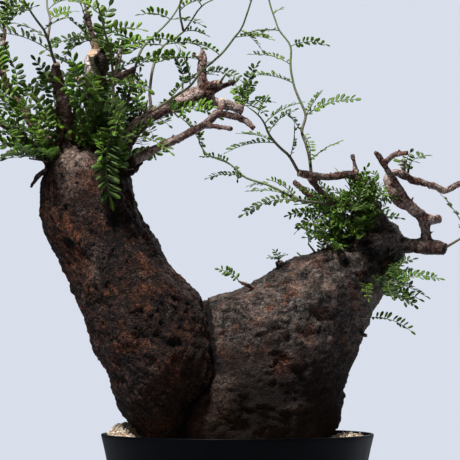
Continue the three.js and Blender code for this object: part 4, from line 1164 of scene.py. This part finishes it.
def face_wish(at, shoot, leaf, level):
    """The way that a leaf's face looks: up, and by a share of its own to the nearer of front and back."""
    tilt = [draw(shoot, leaf + k) - 0.5 for k in (60, 80, 100)]
    nearer = 1 if at[1] >= FACE["middle"] else -1
    return np.array([0.7 * tilt[0], nearer * level * (0.6 + 1.2 * tilt[1]), FACE["up"] + 0.5 * tilt[2]])


KEY_WAY = unit(np.subtract(LAMPS["key"]["place"], LAMPS["key"]["at"]))


def in_the_way(root, reach):
    """Whether a leaf would hide a clear spot from the camera or from the key light."""
    along = root + reach * np.linspace(0, 1, 5)[:, None]
    for x, y, z, radius in CLEAR:
        away = along - (x, y, z)
        for to in (CAMERA_WAY, KEY_WAY):
            ahead = away @ to
            if np.any((ahead > 0) & (np.linalg.norm(away - ahead[:, None] * to, axis=1) < radius)):
                return True
    return False


def age_at(z):
    """How young the leaves may be at a height: those near the top of the crown are yellower."""
    return 0.3 + 0.5 * smooth(*YOUNG, z)


def grow_long(foliage, twigs, number, size):
    """A long shoot: each of its twigs wanders a little and bears the leaves given for it."""
    for depth, line, leaves in twigs:
        knots = spread(depth, line)
        last = len(knots) - 1
        shares = np.linspace(0, 1, 4 * last + 1)
        points = smooth_line(knots, shares)
        points = points + 0.35 * shifts(cloud, points, 8, 51)
        root = TWIG["long_root"] if last > 5 else TWIG["side_root"]
        foliage.twig(points, np.interp(shares, [0, 1], [root, TWIG["long_end"]]), shares)
        for i, (point, *reach) in enumerate(leaves):
            at = knots[point]
            age = max(0.75 * smooth(0.7, 1.0, point / last), age_at(at[2]) * draw(number, i + 7))
            face = face_wish(at, number, i, LONG["level"])
            foliage.leaf(at, np.array(reach, float), face, age, LONG["tone"], size)


def grow_short(foliage, group, number, seat, to, length, count, size, own=None):
    """A short shoot: a straight twig with a fan of leaves near its end and more leaves along it."""
    more, rise, leaflet, long, level, tone = GROWTH[group]
    own = own or {}
    if isinstance(seat[0], str):
        root = smooth_line(spread(*BRANCHES[seat[0]]), [seat[1]])[0]
    else:
        root = np.array(seat, float)
    axis = unit(to)
    side = unit(np.cross(axis, (0, -1, 0) if abs(axis[2]) > 0.8 else (0, 0, 1)))
    shares = np.linspace(0, 1, 6)
    line = root + axis * (length * shares)[:, None]
    foliage.twig(line, np.interp(shares, [0, 1], TWIG["short"]), 0.5 * shares)
    for i in range(-own.get("more", more), count):
        opening = SHORT["fan"] - SHORT["fan_step"] * max(i, 0) * draw(number, i + 20)
        out = turned(side, axis, GOLDEN * i + TURN * draw(number, 0))
        reach = unit(axis * math.cos(opening) + out * math.sin(opening))
        reach[2] = max(reach[2], rise + 0.25 * (draw(number, i + 55) - 0.5))
        reach = unit(reach) * long * size * (SHORT["least"] + SHORT["vary"] * draw(number, i + 40))
        back = SHORT["step"] * (count - 1 - max(i, 0)) + SHORT["more_step"] * max(-i, 0)
        at = root + axis * max(length - back - 1, 3)
        shape = (leaflet,)
        if i in own:
            reach = np.array(own[i], float)
            shape = (own.get("leaflet", leaflet), *own.get("shape", (1, 1)))
        elif "more" not in own and in_the_way(at, reach):
            continue
        face = own.get("face") or face_wish(at, number, i, level)
        foliage.leaf(at, reach, face, age_at(at[2]) * draw(number, i + 7) ** 2, tone, *shape)


def make_foliage(materials):
    """A piece for each long shoot and each group of short ones, with the nodes that it replaces."""
    for number, (name, (size, *twigs)) in enumerate(LONG_SHOOTS.items()):
        foliage = Foliage(number)
        grow_long(foliage, twigs, number, size)
        yield foliage.build(name + "_leaves", materials), [name]
    number, extra = 0, 200
    for group, shoots in SHORT_SHOOTS.items():
        foliage, nodes = Foliage(100 + number), []
        for shoot in shoots:
            grow_short(foliage, group, number, *shoot)
            number += 1
            nodes.append(f"shoot_short_{number:02d}")
        for shoot in THICKENING.get(group, []):
            grow_short(foliage, group, extra, *shoot)
            extra += 1
        yield foliage.build(group + "_leaves", materials), nodes


# Pot and grit

def pot_radius(z):
    return POT["base"] + (POT["rim"] - POT["flare_out"] - POT["base"]) * z / POT["height"]


def inner_radius(z):
    return pot_radius(z) - POT["wall"]


def eased(profile, steps=5):
    """A profile of (r, z, how far its corner is rounded) as points."""
    points = []
    for i, (r, z, ease) in enumerate(profile):
        corner = np.array([r, z], float)
        if ease == 0:
            points.append(corner)
            continue
        before, after = (unit(np.array(profile[k][:2]) - corner) * ease for k in (i - 1, i + 1))
        points += [corner + before * (1 - t) ** 2 + after * t**2 for t in np.linspace(0, 1, steps)]
    return points


def make_pot(material):
    top, floor, rounded = POT["height"], POT["floor"], POT["rounded"]
    under = top - POT["flare_height"]
    points = eased([
        (0.001, 0, 0), (POT["base"] - 3, 0, 0), (POT["base"], 0, rounded["foot"]),
        (pot_radius(under), under, rounded["flare"]), (POT["rim"], top, rounded["rim"]),
        (inner_radius(top), top, rounded["lip"]), (inner_radius(floor), floor, rounded["floor"]),
        (0.001, floor, 0)])
    profile = []
    for start, end in zip(points, points[1:]):
        profile += list(np.linspace(start, end, 8 if math.dist(start, end) > 20 else 2, endpoint=False))
    circle = ring(POT["sides"])
    rings = [at_height(circle * r, z) for r, z in [*profile, points[-1]]]
    pot = mesh_object("pot_shell", *closed(rings, (0, 0, 0), (0, 0, floor)), [material])
    holes = Heap()
    for i in range(DRAIN["count"]):
        turn = TURN * (i + 0.5) / DRAIN["count"]
        x, y = DRAIN["circle"] * math.cos(turn), DRAIN["circle"] * math.sin(turn)
        line = [(x, y, z) for z in (-5, 0.5, 10)]
        holes.add(*tube(line, [DRAIN["radius"]] * 3, DRAIN["sides"]))
    cutter = holes.build("drain_cutter", [material])
    modified(pot, "BOOLEAN", object=cutter, operation="DIFFERENCE", solver="EXACT")
    bpy.data.objects.remove(cutter)
    return pot


def grit_rise(x, y):
    """How far the grit's top lies above its level, at the rim no more than its pebbles."""
    inwards = (inner_radius(POT["height"]) - np.hypot(x, y)) / SOIL["slope"]
    pebbles = np.sin(x * 1.1 + 2 * np.sin(y * 0.7)) * np.sin(y * 1.3 + x * 0.2)
    rise = sum(
        high * smooth(1, 0, np.hypot((x - mid_x) / wide, (y - mid_y) / deep))
        for mid_x, mid_y, wide, deep, high in MOUNDS)
    return smooth(*SOIL["heaped"], inwards) * rise + SOIL["grit"] * pebbles


def make_bed(material):
    """The bed that the grains lie on, filling the pot to just under its surface."""
    top, bottom = SURFACE, POT["floor"] + SOIL["gap"]
    low, high = (ring(BED["sides"]) * (inner_radius(z) - SOIL["gap"]) for z in (bottom, top))
    rings = [at_height(low * share, bottom) for share in (0.4, 1)]
    for share in np.linspace(1, 0.04, BED["rings"]):
        flat = high * share
        rings.append(at_height(flat, top - BED["below"] + grit_rise(*flat.T)))
    middle = (0, 0, top - BED["below"] + grit_rise(0, 0))
    corners, triangles = closed(rings, (0, 0, bottom), middle)
    bed = mesh_object("grit_bed", corners, triangles, [material])
    paint(bed, tone=np.full(len(corners), BED["tone"]))
    return bed


def make_grains(material):
    """Loose grains on the bed, from the pot's wall to the caudex."""
    random = np.random.default_rng(GRAIN["seed"])
    reach = inner_radius(SURFACE) - GRAIN["from_wall"]
    steps = np.arange(-reach, reach, GRAIN["pitch"])
    x, y = (v.ravel() + random.uniform(-0.9, 0.9, len(steps) ** 2) for v in np.meshgrid(steps, steps))
    seats = np.column_stack([x, y, SURFACE - GRAIN["sunk"] + grit_rise(x, y)])
    seats = seats[(np.hypot(x, y) < reach) & (reach_in_limbs(seats) > 0.97)]
    count = len(seats)
    size = random.uniform(GRAIN["least"], GRAIN["most"], (count, 1, 1))
    size = size * random.uniform(0.7, 1.15, (count, 1, 3))
    rough = unit(GRAIN_CORNERS) * (1 + 0.2 * random.standard_normal((count, 12, 1)).clip(-1.5, 1.5))
    spin = unit(random.standard_normal((count, 3)))
    other = unit(np.cross(spin, random.standard_normal((count, 3))))
    basis = np.stack([spin, other, np.cross(spin, other)], axis=1)
    points = np.einsum("nij,njk->nik", rough * size, basis) + seats[:, None]
    triangles = np.array(GRAIN_FACES) + 12 * np.arange(count)[:, None, None]
    heap = Heap("tone")
    tone = np.repeat(random.beta(2.2, 1.6, count), 12)
    heap.add(points.reshape(-1, 3), triangles.reshape(-1, 3), tone=tone)
    return heap.build("grit_grains", [material], rounded=False)


# Camera, light and floor

def aim(made, place, at):
    """Puts a camera or a lamp at a place in metres and turns it to look at another."""
    made.location = place
    made.rotation_mode = "QUATERNION"
    made.rotation_quaternion = (Vector(at) - Vector(place)).to_track_quat("-Z", "Y")


def make_camera():
    data = bpy.data.cameras.new("camera")
    data.lens, data.sensor_width = CAMERA["lens"], CAMERA["sensor"]
    data.clip_start, data.clip_end = CAMERA["clip"]
    camera = add_object("camera", data)
    aim(camera, Vector(CAMERA["place"]) * MM, Vector(CAMERA["aim"]) * MM)
    bpy.context.scene.camera = camera


def make_lamp(name, place, at, size, power, angle):
    data = bpy.data.lights.new(name, "AREA")
    data.shape, data.size, data.energy = "SQUARE", size, power
    data.spread = math.radians(angle)
    aim(add_object(name, data), place, at)


def make_world():
    """A soft sky, brighter above and behind, and a plain pale one where the camera sees it."""
    world = bpy.context.scene.world = bpy.data.worlds.new("studio")
    world.use_nodes = True
    sky = Nodes(world.node_tree)
    way = sky.node("SeparateXYZ", {0: sky.node("TexCoord")["Generated"]})
    height, behind = sky.ranged(way[2], 0.0, 1.0, 0.02, 0.8), sky.ranged(way[1], -0.5, 0.7, 0.07, 1.0)
    light = {"Color": (0.9, 0.94, 1.0, 1), "Strength": sky.times(height, behind)}
    seen = {"Color": (0.69, 0.735, 0.83, 1), "Strength": 1.0}
    shown = sky.node("LightPath")["Is Camera Ray"]
    shown = {0: shown, 1: sky.node("Background", light)[0], 2: sky.node("Background", seen)[0]}
    output = sky.tree.nodes["World Output"]
    sky.tree.links.new(sky.node("MixShader", shown)[0], output.inputs[0])


def make_floor():
    plain = Surface("floor", Roughness=0.9)
    plain.give("Base Color", plain.tones(plain.grain(160), 0.3, 0.7, (0.6, 0.64, 0.72), (0.66, 0.7, 0.78)))
    rim = at_height(ring(FLOOR["sides"]) * FLOOR["radius"], -FLOOR["below"])
    floor = mesh_object("floor", rim, [list(range(FLOOR["sides"]))], [plain.material])


def dress(piece, slot, *nodes):
    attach(piece, "root")
    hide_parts(*nodes)


bpy.context.scene.view_settings.view_transform = "Standard"
make_camera()
make_world()
for name, lamp in LAMPS.items():
    make_lamp(name, **lamp)
make_floor()
bark, wood = bark_material(), branch_material()
dress(make_caudex(bark), "bark", "caudex_and_branches")
LEFT_WOOD = [name for name in BRANCHES if name.startswith(("left", "long", "low"))]
RIGHT_WOOD = [name for name in BRANCHES if name not in LEFT_WOOD]
dress(make_branches("branches_left", LEFT_WOOD, wood), "bark", "caudex_and_branches")
dress(make_branches("branches_right", RIGHT_WOOD, wood), "bark", "caudex_and_branches")
for piece, nodes in make_foliage([leaf_material(), stem_material()]):
    dress(piece, "foliage", *nodes)
dress(make_pot(pot_material()), "pot_plastic", "pot")
grit = grit_material()
dress(make_bed(grit), "grit", "soil")
dress(make_grains(grit), "grit", "soil")
